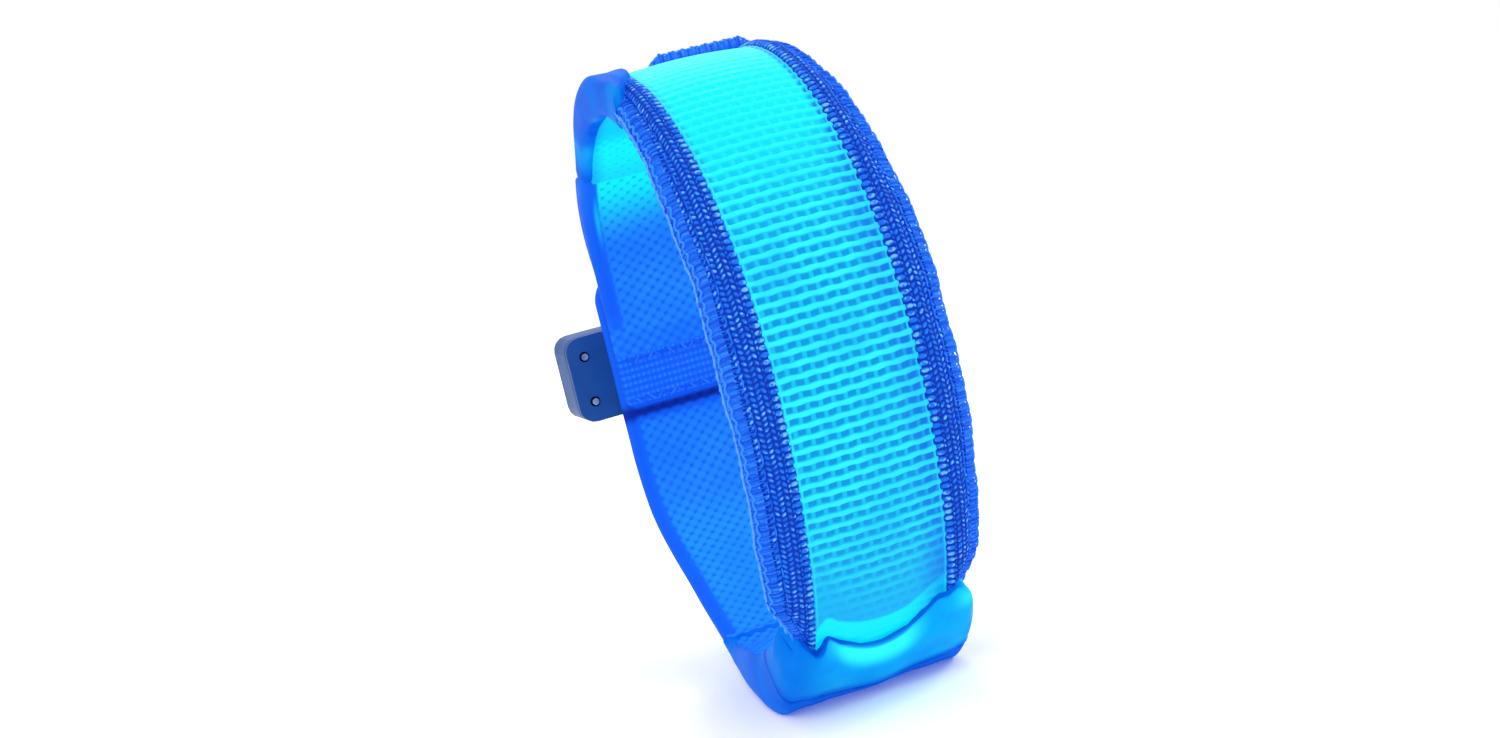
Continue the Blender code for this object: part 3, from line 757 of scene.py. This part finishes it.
def make_rim(hand, side, lip_material, thread_material, wave_material):
    """The overlocked edge: a soft lip, loops of thread round it, and three wavy threads along it."""
    start, end = S_BAND
    s = np.arange(start + 0.4, end - 0.4, 0.45)[:, None]
    turns = np.linspace(-0.5 * math.pi, 0.5 * math.pi, 9)[None, :]
    edge = np.abs(rim_edge(hand, s))
    middle, reach = rim_levels(hand, s, RIM_BACK + 0.1 * wander(s, 3.0))
    x_edge = edge + 0.05 + (0.95 + rim_scallop(hand, s)) * np.cos(turns) ** 0.7
    offset = middle + reach * np.sin(turns)
    rows = np.broadcast_to(s, x_edge.shape)
    lip = rim_strip(f"{side}_rim", hand, x_edge, rows, offset, edge)
    dress(lip, lip_material, "light_band", [f"{side}_overlock_edge"])

    paths = []
    for index, at in enumerate(np.arange(start + 1.0, end - 1.0, 0.64)):
        jitter = 0.13 * math.sin(index * 2.3) + 0.09 * math.sin(index * 5.1)
        swing = np.linspace(-0.62 * math.pi, 0.62 * math.pi, 11)
        here = at + jitter + np.linspace(-0.4, 0.4, 11)
        middle, reach = rim_levels(hand, here)
        bulge = 1.12 + rim_scallop(hand, here)
        past = np.clip(np.abs(swing) - 0.5 * math.pi, 0.0, 1.0)
        x_path = np.abs(rim_edge(hand, here)) + bulge * np.clip(np.cos(swing), 0.0, 1.0) ** 0.7 - 3.0 * past
        reach_out = (reach + 0.14) * np.sin(np.clip(swing, -0.5 * math.pi, 0.5 * math.pi))
        paths.append(spots(hand * x_path, here, middle + reach_out))
    sew(f"{side}_overlock_loops", paths, 0.14, thread_material, "light_band")

    paths = []
    for lane, (level, swing_size) in enumerate(((0.66, 0.30), (-0.12, 0.42), (-0.72, 0.2))):
        run = np.arange(start + 1.0, end - 1.0, 0.28)
        middle, reach = rim_levels(hand, run)
        wave = np.sin(2.0 * math.pi * run / 1.84 + lane * 1.5)
        height = np.clip(level + swing_size * wave / reach, -0.95, 0.95)
        x_path = np.abs(rim_edge(hand, run)) + (1.34 + 0.12 * wave) * np.sqrt(1.0 - height**2) ** 0.7
        paths.append(spots(hand * x_path, run, middle + reach * height * 1.04))
    sew(f"{side}_overlock_waves", paths, 0.17, wave_material, "light_band")


def rim_strip(name, hand, x_edge, s, offset, edge):
    """The lip's skin: a half-round shape closed by a flat inner wall."""
    rows, columns = x_edge.shape
    base = edge - 0.35
    front = np.concatenate([base, x_edge, base], axis=1)
    level = np.concatenate([offset[:, :1], offset, offset[:, -1:]], axis=1)
    s_all = np.concatenate([s[:, :1], s, s[:, :1]], axis=1)
    columns += 2
    vertices = spots(hand * front, s_all, level).reshape(-1, 3)
    faces = []
    for row in range(rows - 1):
        for column in range(columns):
            after = (column + 1) % columns
            quad = [row * columns + column, row * columns + after,
                    (row + 1) * columns + after, (row + 1) * columns + column]
            faces.append(quad if hand < 0 else quad[::-1])
    first = list(range(columns))
    last = [(rows - 1) * columns + column for column in range(columns)]
    faces += [first[::-1], last] if hand < 0 else [first, last[::-1]]
    fray = 0.5 + 0.5 * np.sin(s_all * 6.8) * np.cos(level * 3.0)
    cloth = np.stack([front, s_all, level], axis=-1).reshape(-1, 3)
    values = {"cloth": cloth, "relief": fray.ravel(), "glow": np.zeros(fray.size)}
    return keep_mesh(name, vertices, faces, values)


def make_lining(material):
    """The spacer mesh inside the lit front, bumps towards the leg."""
    start, end = S_BAND
    x, s = grid(start, end, lambda s: rim_edge(-1.0, s) + 0.2, lambda s: rim_edge(1.0, s) - 0.2, 0.3, 0.3)
    bumps = hex_mesh(x, s)
    glow = np.maximum(ramp(s, 84.0, 100.0), 1.0 - ramp(s, -70.0, -58.0))
    lining = shell("front_lining", x, s, -1.5, -2.15 - 0.32 * bumps, bumps, 0.7 * glow)
    dress(lining, material, "light_band", ["inner_mesh_lining"])


# ---- Padded pockets ----

def puff(obj, rows, columns, cap):
    """Blows up a closed skin by cloth simulation, held at its border and on its inner face.

    The skin's first rows x columns vertices are its outer face. The simulation runs on a much larger copy,
    at a size where Blender's cloth behaves. Its result is evened out over the face, and no point moves
    further than cap (mm).
    """
    mesh = obj.data
    row, column = np.divmod(np.arange(rows * columns), columns)
    from_ends = np.minimum(row, rows - 1 - row) / HELD_ROWS
    from_sides = np.minimum(column, columns - 1 - column) / HELD_COLUMNS
    held = np.ones(len(mesh.vertices))
    held[:rows * columns] = np.clip(1.0 - np.minimum(from_ends, from_sides), 0.0, 1.0)
    rest = read_places(mesh)
    copy = obj.copy()
    copy.data = mesh.copy()
    set_places(copy.data, rest * PUFF_SCALE)
    bpy.context.scene.collection.objects.link(copy)
    group = copy.vertex_groups.new(name="held")
    for index, weight in enumerate(held):
        if weight > 0.0:
            group.add([index], float(weight), "REPLACE")
    cloth = copy.modifiers.new("puff", "CLOTH")
    settings = cloth.settings
    settings.vertex_group_mass = "held"
    settings.use_pressure = True
    settings.uniform_pressure_force = PUFF_PRESSURE
    settings.effector_weights.gravity = 0.0
    settings.quality = 6
    settings.mass = 0.2
    settings.tension_stiffness = 12.0
    settings.compression_stiffness = 12.0
    settings.bending_stiffness = 0.4
    cloth.collision_settings.use_collision = False
    cloth.collision_settings.use_self_collision = False
    scene = bpy.context.scene
    cloth.point_cache.frame_start, cloth.point_cache.frame_end = 1, PUFF_FRAMES
    for frame_number in range(1, PUFF_FRAMES + 1):
        scene.frame_set(frame_number)
    depsgraph = bpy.context.evaluated_depsgraph_get()
    moved = read_places(copy.evaluated_get(depsgraph).to_mesh()) / PUFF_SCALE
    copy.evaluated_get(depsgraph).to_mesh_clear()
    bpy.data.objects.remove(copy)
    scene.frame_set(1)
    step = moved - rest
    face = step[:rows * columns].reshape(rows, columns, 3)
    for _ in range(PUFF_EVENINGS):
        face[1:-1, 1:-1] = (face[:-2, 1:-1] + face[2:, 1:-1] + face[1:-1, :-2] + face[1:-1, 2:]) / 4.0
    step[:rows * columns] = face.reshape(-1, 3)
    length = np.linalg.norm(step, axis=1, keepdims=True)
    step *= np.minimum(1.0, cap * MM / np.maximum(length, 1e-9))
    set_places(mesh, rest + step)


def pad_grid(rows, columns):
    """Shares along a pad, from 0 to 1, and across it, from -1 to 1 and denser towards its sides."""
    across = np.sin(np.linspace(-0.5 * math.pi, 0.5 * math.pi, columns))
    return np.linspace(0.0, 1.0, rows)[:, None], across[None, :]


def pad_skin(name, x, s, outer, inner, relief, glow):
    """A closed pad: both faces meet in rounded sides."""
    half = np.abs(x).max(axis=1, keepdims=True)
    side = np.clip((half - np.abs(x)) / 1.5, 0.0, 1.0)
    ends = np.clip(np.minimum(s - s.min(axis=0), s.max(axis=0) - s) / 1.5, 0.0, 1.0)
    round_in = 1.0 - np.sqrt(1.0 - (1.0 - np.minimum(side, ends)) ** 2)
    middle = (outer + inner) / 2.0
    return shell(name, x, s, middle + (outer - middle) * (1.0 - 0.75 * round_in),
                 middle + (inner - middle) * (1.0 - 0.75 * round_in), relief, glow)


def make_foot(material, lining_material):
    """The wide smooth pocket that holds the window's end: a soft cup in front, and a sleeve under the ring.

    Its upper lip lies on the window, and its sides roll inwards round the band's edges.
    """
    rear = along(FOOT_REAR)
    rows, columns = 150, 101
    share, across = pad_grid(rows, columns)
    walked = rear + (S_LIP + 5.0 - rear) * share
    corner = 4.6
    inside = np.clip(corner - (S_LIP + 5.0 - walked), 0.0, corner)
    width = FOOT_HALF - 0.6 * (corner - np.sqrt(corner**2 - inside**2))
    width = width - 2.6 * (1.0 - smooth(walked, rear, along(-84.0)))
    x = across * width
    lip = lip_line(x) - (2.0 + 1.6 * smooth(across, 0.0, 0.5)) * smooth(np.abs(across), 0.9, 1.0)
    s = rear + (lip - rear) * share
    lift = 0.7 * smooth(s, S_LIP - 12.0, S_LIP)
    hem = S_HEM + 2.2 * (np.abs(x) / FOOT_HALF) ** 3
    groove = crest(s, hem, 0.28) - 0.5 * crest(s, hem + 0.62, 0.3)
    thin_rear = 2.2 * (1.0 - smooth(s, rear, along(-100.0)))
    bulge = 1.5 * crest(s, along(-77.0), 5.0)
    outer = 3.3 + lift - 0.4 * groove - thin_rear + bulge
    outer = outer + 0.35 * np.cos(across * math.pi * 0.5) * ramp(s, -88.0, -70.0)
    outer = outer - 1.1 * smooth(np.abs(across), 0.86, 1.0) * smooth(s, S_LIP - 4.0, S_LIP + 3.0)
    outer = outer - 1.1 * smooth(lip - s, 2.8, 0.3) * (1.0 - smooth(np.abs(x), 8.6, 10.4))
    under = 1.0 - ramp(s, -73.5, -71.5)
    inner = outer - 1.5
    inner = inner + (-1.2 - inner) * under
    rolled = -1.2 - 1.9 * smooth(s, rear + 1.0, along(-112.0)) - 2.4 * ramp(s, -112.0, -88.0)
    rolled = rolled + 2.2 * smooth(s, along(-72.0), S_LIP)
    inner = inner + (rolled - inner) * smooth(width - np.abs(x), 1.5, 1.0)
    glow = (1.0 - smooth(lip - s, 0.8, 4.2)) * (1.0 - smooth(np.abs(across + 0.08), 0.25, 0.7))
    # tip: a painted highlight near the right end of the lip.
    tip = crest(across, 0.86, 0.14) * crest(lip - s, 2.5, 2.4)
    # border: a painted shadow line just under the lip's edge, where the glow is also taken out.
    border = crest(lip - s, 0.1, 0.22)
    glow = np.maximum(0.9 * glow, 0.6 * tip) * (1.0 - border)
    # face and relief: painted light and shade on the pocket's front, lighter above the hem than on the sleeve
    # below it and darker towards its left end, with the hem's groove painted dark.
    face = smooth(s, hem - 0.2, hem + 2.4) * (1.0 - 0.75 * smooth(-across, 0.35, 0.95))
    relief = 0.12 + 0.8 * face - 0.9 * crest(s, hem, 0.4) - 0.9 * border
    foot = pad_skin("bottom_pocket", x, s, outer, inner, relief, glow)
    puff(foot, rows, columns, 0.9)
    rest_on_floor(foot)
    dress(foot, material, "light_band", ["bottom_pocket_cover"])

    start, end = along(-73.8), rear
    x, s = grid(start, end, -LINING_HALF, LINING_HALF, 0.4, 0.4)
    bumps = hex_mesh(x, s)
    sink = 1.25 * (1.0 - smooth(s, rear, rear + 9.0))
    inner = -2.1 - 0.25 * bumps + sink
    glow = ramp(s, -112.0, -84.0) * (1.0 - smooth(np.abs(x), 8.0, 13.0))
    lining = shell("bottom_lining", x, s, -1.45 + sink, inner, bumps, 0.9 * glow)
    dress(lining, lining_material, "light_band", ["bottom_pocket_lining"])


def rest_on_floor(foot):
    """Flattens the foot against the surface that it stands on."""
    places = read_places(foot.data)
    places[:, 2] = np.maximum(places[:, 2], 0.0)
    set_places(foot.data, places)


def pocket_start(x):
    """Where the top pocket begins: it wraps forward over the band's upper left corner."""
    angle = BAND_END + 0.6 - 26.0 * (1.0 - smooth(x, -11.2, -8.4)) - 9.0 * (1.0 - smooth(x, -15.5, -10.5))
    return np.interp(angle, LINE_ANGLES, LINE_S)


def make_top_pocket(material, lining_material):
    """The smooth pocket behind the window's upper end, whose sides roll inwards."""
    end = along(FLAP_HINGE - 2.6)
    rows, columns = 90, 101
    share, across = pad_grid(rows, columns)
    right = TOP_POCKET_HALF + 0.5 - 1.1 * smooth(share, 0.5, 1.0)
    left = right + 1.0 * (1.0 - smooth(share, 0.1, 0.9))
    x = across * np.where(across < 0.0, left, right)
    s = pocket_start(x) + (end - pocket_start(x)) * share
    side = smooth(np.abs(across), 0.62, 0.95)
    ripple = side * (0.16 * np.sin(x * 1.7 + 0.28 * s) + 0.14 * np.sin(x * 0.8 - 0.45 * s + 1.0))
    outer = 3.0 + 0.4 * np.cos(across * math.pi * 0.5) + ripple - 0.5 * smooth(share, 0.75, 1.0)
    rolled = smooth(np.abs(x), 11.6, 12.8)
    inner = -1.2 - (2.1 + 0.8 * ripple) * rolled
    # Painted light near the top LED, brightest in the middle, and painted highlight streaks on the ripples'
    # crests and along the rolled sides; together they make the relief.
    light = crest(s, along(112.0), 6.0) * (1.0 - smooth(np.abs(x), 5.0, 12.0))
    highlight_streak = 0.6 * smooth(ripple, 0.0, 0.3) + 0.8 * crest(s, along(121.0), 4.0) * rolled
    relief = 0.35 * light + 0.75 * highlight_streak
    pocket = pad_skin("top_pocket", x, s, outer, inner, relief, 0.25 * light)
    puff(pocket, rows, columns, 0.7)
    dress(pocket, material, "light_band", ["top_pocket_cover"])

    start = along(BAND_END + 0.4)
    x, s = grid(start, along(FLAP_HINGE - 2.0), -12.2, 12.2, 0.3, 0.3)
    bumps = hex_mesh(x, s) * ramp(s, 112.0, 124.0)
    glow = 1.0 - 0.35 * ramp(s, 118.0, 131.0)
    glow = glow * (1.0 - 0.35 * (1.0 - smooth(x, -12.2, -9.5)))
    lining = shell("top_lining", x, s, -1.45, -2.15 - 0.25 * bumps, bumps + 0.3, glow)
    dress(lining, lining_material, "light_band", ["top_pocket_lining"])


def make_end_seam(lip_material, loop_material, wave_material):
    """The overlocked seam across the window's upper end, which stands up most on the right."""
    seam = along(97.4)

    def height(x):
        bumpy = 0.16 * np.sin(x * 3.35) + 0.1 * np.sin(x * 7.9 + 1.0)
        return 0.3 + (1.9 + bumpy) * smooth(x, -4.4, -1.6) * (1.0 - 0.7 * smooth(x, 11.8, 14.2))

    x, s = grid(seam - 0.8, seam + 0.8, -9.4, 14.2, 0.1, 0.3)
    arch = np.sqrt(np.clip(1.0 - ((s - seam) / 0.85) ** 2, 0.0, 1.0))
    core = shell("end_seam_core", x, s, 2.2 + height(x) * arch, 1.5, arch)
    dress(core, lip_material, "light_band")
    paths = []
    for index, at in enumerate(np.arange(-9.0, 14.0, 0.62)):
        swing = np.linspace(-0.5 * math.pi, 0.5 * math.pi, 9)
        here = at + 0.12 * math.sin(index * 2.7) + np.linspace(-0.3, 0.3, 9)
        paths.append(spots(here, seam + 1.0 * np.sin(swing), 2.1 + (height(here) + 0.16) * np.cos(swing)))
    sew("end_seam_loops", paths, 0.15, loop_material, "light_band")
    run = np.arange(-9.0, 14.0, 0.2)
    wave = np.sin(2.0 * math.pi * run / 1.86)
    path = spots(run, seam - 0.45 + 0.3 * wave, 2.4 + height(run) * 0.9)
    sew("end_seam_wave", [path], 0.17, wave_material, "light_band")


# ---- The flap and the closing strap ----

def make_flap(lining_material, webbing_material, thread_material):
    """The loose upper end: spacer mesh that hangs from the top pocket, with a ribbed tab sewn to its tip."""
    start, end = along(FLAP_HINGE - 3.6), along(TAB_START + 0.4)
    x, s = grid(start, end, -FLAP_HALF, FLAP_HALF, 0.3, 0.3)
    bumps = hex_mesh(x, s)
    sink = 1.0 - ramp(s, FLAP_HINGE + 2.0, 160.0)
    base_in, base_out = -2.55 + 1.2 * sink, -1.25 + 1.2 * sink
    tuck = 1.0 - smooth(s, start, start + 2.5)
    curl = 0.35 * wander(s, 4.0, 40.0) * (np.abs(x) / FLAP_HALF) ** 3
    rolled = smooth(np.abs(x), 10.9, 11.7) * (1.0 - ramp(s, 165.0, 172.0))
    round_edge = np.clip(1.0 - (FLAP_HALF - np.abs(x)) / 1.0, 0.0, 1.0) ** 2
    inner = base_in - 0.3 * bumps * (1.0 - rolled) + 0.25 * tuck + curl - 0.55 * rolled + 0.75 * round_edge
    cuff = ramp(s, 129.4, 132.5) * (1.0 - ramp(s, 143.0, 156.0))
    outer = base_out + 0.28 * bumps * (1.0 - rolled) - 0.2 * tuck + curl + 2.5 * cuff - 0.6 * round_edge
    glow = (1.0 - ramp(s, 127.0, 152.0)) * (1.0 - 0.8 * rolled)
    # A painted highlight streak along the left rolled border.
    glow = np.maximum(glow, 0.8 * crest(x, -11.8, 0.5) * crest(s, along(141.0), 4.5))
    hem = smooth(s, end - 4.4, end - 3.6)
    relief = bumps * (1.0 - 0.3 * hem) * (1.0 - rolled) - 0.2 * rolled
    flap = shell("upper_flap_mesh", x, s, outer, inner, relief, glow)
    dress(flap, lining_material, None, ["upper_flap"])
    line_point(FLAP_HINGE - 3.4)
    line_point(FLAP_HINGE + 6.0)
    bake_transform(flap)

    tab_start, tab_end = along(TAB_START), along(FLAP_TIP)
    half = rounded_half(FLAP_HALF, 2.0, None, tab_end)
    x, s = grid(tab_start, tab_end, lambda s: -half(s), half, 0.16, 0.22)
    rib = (0.5 + 0.3 * np.cos(2.0 * math.pi * s / 1.15)) * (0.75 + 0.25 * np.cos(2.0 * math.pi * x / 0.9))
    # The tab thins towards its end, where its relief fades out to paint it darker, as shade.
    edge = smooth(s, tab_end - 0.9, tab_end - 0.2)
    tab = shell("end_tab", x, s, -1.35 + 0.15 * rib, -2.75 - 0.22 * rib + 0.5 * edge, rib * (1.0 - edge))
    dress(tab, webbing_material, "upper_flap", ["upper_end_tab"])

    paths = []
    for line_s, wide in ((tab_start + 0.9, 1.5), (tab_end - 1.2, 1.1)):
        corners = np.arange(-FLAP_HALF + 1.4, FLAP_HALF - 1.3, 1.25)
        for index, (first, second) in enumerate(zip(corners, corners[1:])):
            rise = wide / 2.0 * (1 if index % 2 else -1)
            at = np.linspace(0.0, 1.0, 5)
            lift = 0.2 * np.sin(at * math.pi)
            paths.append(spots(first + (second - first) * at, line_s + rise * (1.0 - 2.0 * at),
                               -3.0 - lift))
    sew("tab_zigzag_stitches", paths, THREAD, thread_material, "upper_flap")


def make_loop_tape(material):
    start, end = along(160.0), along(FLAP_TIP)
    half = rounded_half(TAPE_HALF, 1.6, start, end)
    x, s = grid(start, end, lambda s: -half(s), half, 0.35, 0.35)
    nap = 0.5 + 0.5 * np.sin(x * 5.1 + 2.0 * np.sin(s * 3.3)) * np.cos(s * 4.7 + 1.7 * np.sin(x * 2.9))
    tape = shell("loop_tape_pile", x, s, -0.55 + 0.3 * nap, -1.0, nap)
    dress(tape, material, "upper_flap", ["loop_tape"])


def strap_shift(s):
    """The strap leaves the middle line at the fold and settles at its own offset."""
    angle = np.interp(s, LINE_S, LINE_ANGLES)
    return STRAP_OFFSET * smooth(-angle, -STRAP_HINGE, -STRAP_SETTLED)


def make_strap(lining_material, thread_material):
    """The closing strap, from inside the foot to its tip, in one skin that bends at the fold."""
    start, end = along(-118.0), along(STRAP_TIP)
    tip_half = rounded_half(STRAP_HALF, 5.0, end, None)

    def half(s):
        return tip_half(s) - (STRAP_HALF - STRAP_EXIT_HALF) * ramp(s, -172.0, -132.0)

    x, s = grid(start, end, lambda s: -half(s), half, 0.32, 0.32)
    bumps = hex_mesh(x, s)
    edge = 1.0 - np.clip((half(s) - np.abs(x)) / 0.9, 0.0, 1.0)
    border = smooth(half(s) - np.abs(x), 2.9, 1.3)
    middle = strap_shift(s)
    thin = 0.3 * edge**2
    curl = 0.25 * wander(s, 7.0, 50.0) * (np.abs(x) / STRAP_HALF) ** 3
    inner = middle - 0.62 - 0.3 * bumps * (1.0 - 0.85 * border) - 0.25 * border + thin * 2.0 + curl
    outer = middle + 0.62 + 0.26 * bumps * (1.0 - border) - thin + curl
    glow = 0.16 * ramp(s, -192.0, -150.0) * (1.0 - border)
    wire = np.exp(-(((x - 12.6) / 0.75) ** 4)) * ramp(s, -198.0, -196.5)
    inner = inner - 0.95 * wire * (1.0 - ramp(s, -173.5, -171.5))
    # shade: a painted shadow line across the strap, just past the tab's end.
    shade = crest(s, along(-189.0), 1.3)
    relief = (bumps - (bumps + 0.15) * border) * (1.0 - shade) - 0.8 * shade
    strap = shell("closing_strap_mesh", x, s, outer, inner, relief, glow)
    dress(strap, lining_material, None, ["closing_strap", "base_strap"])
    line_point(STRAP_HINGE + 6.0)
    line_point(STRAP_HINGE - 6.0)
    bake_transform(strap)

    paths = []
    for hand in (-1.0, 1.0):
        run = np.arange(end + 4.5, along(-172.0), 0.5)
        paths += stitch_row(hand * (STRAP_HALF - 1.7), run, strap_shift(run) + 0.72)
    run = np.arange(-8.6, 8.6, 0.5)
    paths += stitch_row(run, end + 1.8, STRAP_OFFSET + 0.72)
    sew("strap_border_stitches", paths, THREAD, thread_material, "closing_strap")


def make_hook_tape(material):
    """Hook tape: a thin base with rows of small bent hooks towards the loops."""
    start, end = along(STRAP_TIP + 1.0), along(-191.0)
    half = rounded_half(TAPE_HALF, 1.6, start, end)
    x, s = grid(start, end, lambda s: -half(s), half, 0.6, 0.6)
    ridge = 0.5 + 0.5 * np.cos(2.0 * math.pi * x / 1.2)
    tape = shell("hook_tape_base", x, s, 0.95, 0.5 - 0.06 * ridge, ridge)
    dress(tape, material, "closing_strap", ["hook_tape"])
    paths = []
    for row, at in enumerate(np.arange(start + 1.2, end - 1.0, 1.3)):
        for hook_x in np.arange(-10.4 + 0.6 * (row % 2), 10.6, 1.2):
            curve = np.linspace(0.0, 1.0, 5)
            height = 0.5 - 0.42 * np.sin(curve * 2.1)
            paths.append(spots(hook_x, at + 0.42 * (1.0 - np.cos(curve * 2.4)), height))
    sew("hook_tape_hooks", paths, 0.07, material, "closing_strap", sides=4)


# ---- Small stitched and moulded pieces ----

def make_band_stitches(material):
    """Running stitches along both webbings, and across both ends of the top pocket."""
    paths = []
    for hand in (-1.0, 1.0):
        run = np.arange(S_BAND[0] + 7.0, S_BAND[1] - 2.0, 0.5)
        x = hand * (WINDOW_HALF + (np.abs(rim_edge(hand, run)) - WINDOW_HALF) * STITCH_SHARE)
        level = webbing_face(hand, run, STITCH_SHARE) + 0.3
        paths += stitch_row(x, run, level, length=1.5, gap=0.65, height=0.12)
    run = np.arange(-12.6, 12.6, 0.5)
    for angle, level in ((106.6, 3.35), (126.6, 3.25)):
        paths += stitch_row(run, along(angle), level + 0.3 * np.cos(run / 14.6 * 1.5))
    sew("band_stitches", paths, 0.12, material, "light_band")


def soften(node, width):
    """Rounds a kept CAD node's edges, without changing its mesh."""
    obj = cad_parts[node]
    bevel = obj.modifiers.new("soft_edges", "BEVEL")
    bevel.width = width * MM
    bevel.segments = 3
    bevel.limit_method = "ANGLE"
    bevel.angle_limit = math.radians(40.0)
    bevel.harden_normals = False


def paint_nodes():
    """Materials for the CAD nodes that are shown as they are."""
    case = plastic_look("case_plastic", "003676", "0B5098", roughness=0.5)
    tray = plastic_look("tray_plastic", "003270", "0B4C90", roughness=0.52)
    rubber = plastic_look("button_rubber", "0A4E92", "3C86C8", roughness=0.6, grain=3600.0, strength=0.3)
    black = plastic_look("black_plastic", "0C0C0D", "3A3A3C", roughness=0.4)
    steel = metal_look("contact_steel", "D6D4CE", "A7A59E")
    cell = metal_look("coin_cell_steel", "D9D9D6", "B4B4B0", roughness=0.22)
    film = metal_look("reflector_film", "E6ECEF", "CBD6DC", roughness=0.18, stretch=(120.0, 1500.0, 120.0))
    guide = glowing_look("light_guide", "66E4FF", "22D8FF", 1.1)
    led = glowing_look("led_lens", "C8FBFF", "9FF6FF", 3.0, roughness=0.12)
    wire = plastic_look("wire_insulation", "BFC4C8", "E6E6E6", roughness=0.42)
    board = board_look()
    looks = {
        "case_outer_shell": case, "case_base_plate": case, "battery_tray": tray, "push_button_cap": rubber,
        "tactile_switch": black, "controller_chip": black, "negative_contact": steel,
        "positive_contact": steel, "case_screw_1": steel, "case_screw_2": steel, "coin_cell": cell,
        "reflector_film": film, "light_guide": guide, "top_led": led, "bottom_led": led,
        "left_band_wire": wire, "right_band_wire": wire, "strap_wire_pair": wire, "control_board": board,
        "top_led_board": board, "bottom_led_board": board,
    }
    for node, material in looks.items():
        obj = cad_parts[node]
        obj.data.materials.clear()
        obj.data.materials.append(material)
    for node, width in (
        ("case_outer_shell", 0.7), ("case_base_plate", 0.3), ("battery_tray", 0.25),
        ("push_button_cap", 0.35), ("coin_cell", 0.2),
    ):
        soften(node, width)


# ---- The studio ----

CAMERA_AZIMUTH = -17.5
CAMERA_ELEVATION = 8.0
CAMERA_ROLL = 13.5
CAMERA_DISTANCE = 320.0
CAMERA_LENS = 48.0
AIM = (0.0, 0.0, 49.0)


def make_camera():
    camera = bpy.data.objects.new("camera", bpy.data.cameras.new("camera"))
    bpy.context.scene.collection.objects.link(camera)
    turn, rise = math.radians(CAMERA_AZIMUTH), math.radians(CAMERA_ELEVATION)
    back = Vector((math.sin(turn) * math.cos(rise), -math.cos(turn) * math.cos(rise), math.sin(rise)))
    aim = Vector(AIM) * MM
    looking = (-back).to_track_quat("-Z", "Y").to_matrix().to_4x4()
    camera.matrix_world = (Matrix.Translation(aim + back * CAMERA_DISTANCE * MM) @ looking @
                           Matrix.Rotation(math.radians(-CAMERA_ROLL), 4, "Z"))
    camera.data.lens = CAMERA_LENS
    camera.data.sensor_width = 36.0
    camera.data.clip_start = 0.01
    bpy.context.scene.camera = camera


def make_area(name, place, size, power):
    """A white square lamp that faces the band's middle."""
    lamp = bpy.data.lights.new(name, "AREA")
    lamp.size = size
    lamp.energy = power
    obj = bpy.data.objects.new(name, lamp)
    bpy.context.scene.collection.objects.link(obj)
    obj.location = place
    obj.rotation_mode = "QUATERNION"
    obj.rotation_quaternion = (Vector((0.0, 0.0, 0.05)) - Vector(place)).to_track_quat("-Z", "Y")


def make_studio():
    low = min(0.0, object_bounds()[0].z)
    reach = 30.0
    corners = [(-reach, -reach), (reach, -reach), (reach, reach), (-reach, reach)]
    vertices = np.array([(x, y, low - 0.00005) for x, y in corners])
    floor = keep_mesh("floor", vertices, [[0, 1, 2, 3]])
    floor.data.materials.append(floor_look())
    world = bpy.data.worlds.new("studio")
    bpy.context.scene.world = world
    world.use_nodes = True
    world.node_tree.nodes["Background"].inputs["Color"].default_value = (1.0, 1.0, 1.0, 1.0)
    world.node_tree.nodes["Background"].inputs["Strength"].default_value = 1.0
    make_area("key_light", (-0.35, -0.45, 0.55), 0.35, 1.2)
    make_area("rim_light", (0.55, -0.05, 0.40), 0.25, 1.5)
    make_area("back_light", (0.1, 0.5, 0.5), 0.4, 0.8)
    bpy.context.scene.view_settings.view_transform = "Standard"


def main():
    webbing = webbing_look()
    lining = lining_look()
    pocket = pocket_look()
    lip = lining_look("rim_lip", "0B5BE6", "3A93FF")
    overlock = thread_look("overlock_thread", "0A4FD8", "2A80F8")
    waves = thread_look("looper_thread", "2E86FF", "6CB4FF", light=0.4)
    thread = thread_look("sewing_thread", "0A54E4", "2C80F8")
    tab = webbing_look("tab_webbing", "0A5CF0", "1E80FF", "3A94FF")
    make_window()
    for hand, side in ((-1.0, "left"), (1.0, "right")):
        make_webbing(hand, side, webbing)
        make_rim(hand, side, lip, overlock, waves)
    make_lining(lining)
    make_foot(pocket, lining)
    make_top_pocket(pocket, lining)
    make_end_seam(lip, overlock, waves)
    make_flap(lining, tab, thread)
    make_loop_tape(fuzzy_look("loop_tape", "06205E", "1650C0"))
    make_strap(lining, thread)
    make_hook_tape(fuzzy_look("hook_tape", "051C58", "0E3A94"))
    make_band_stitches(thread)
    paint_nodes()
    make_camera()
    make_studio()


main()
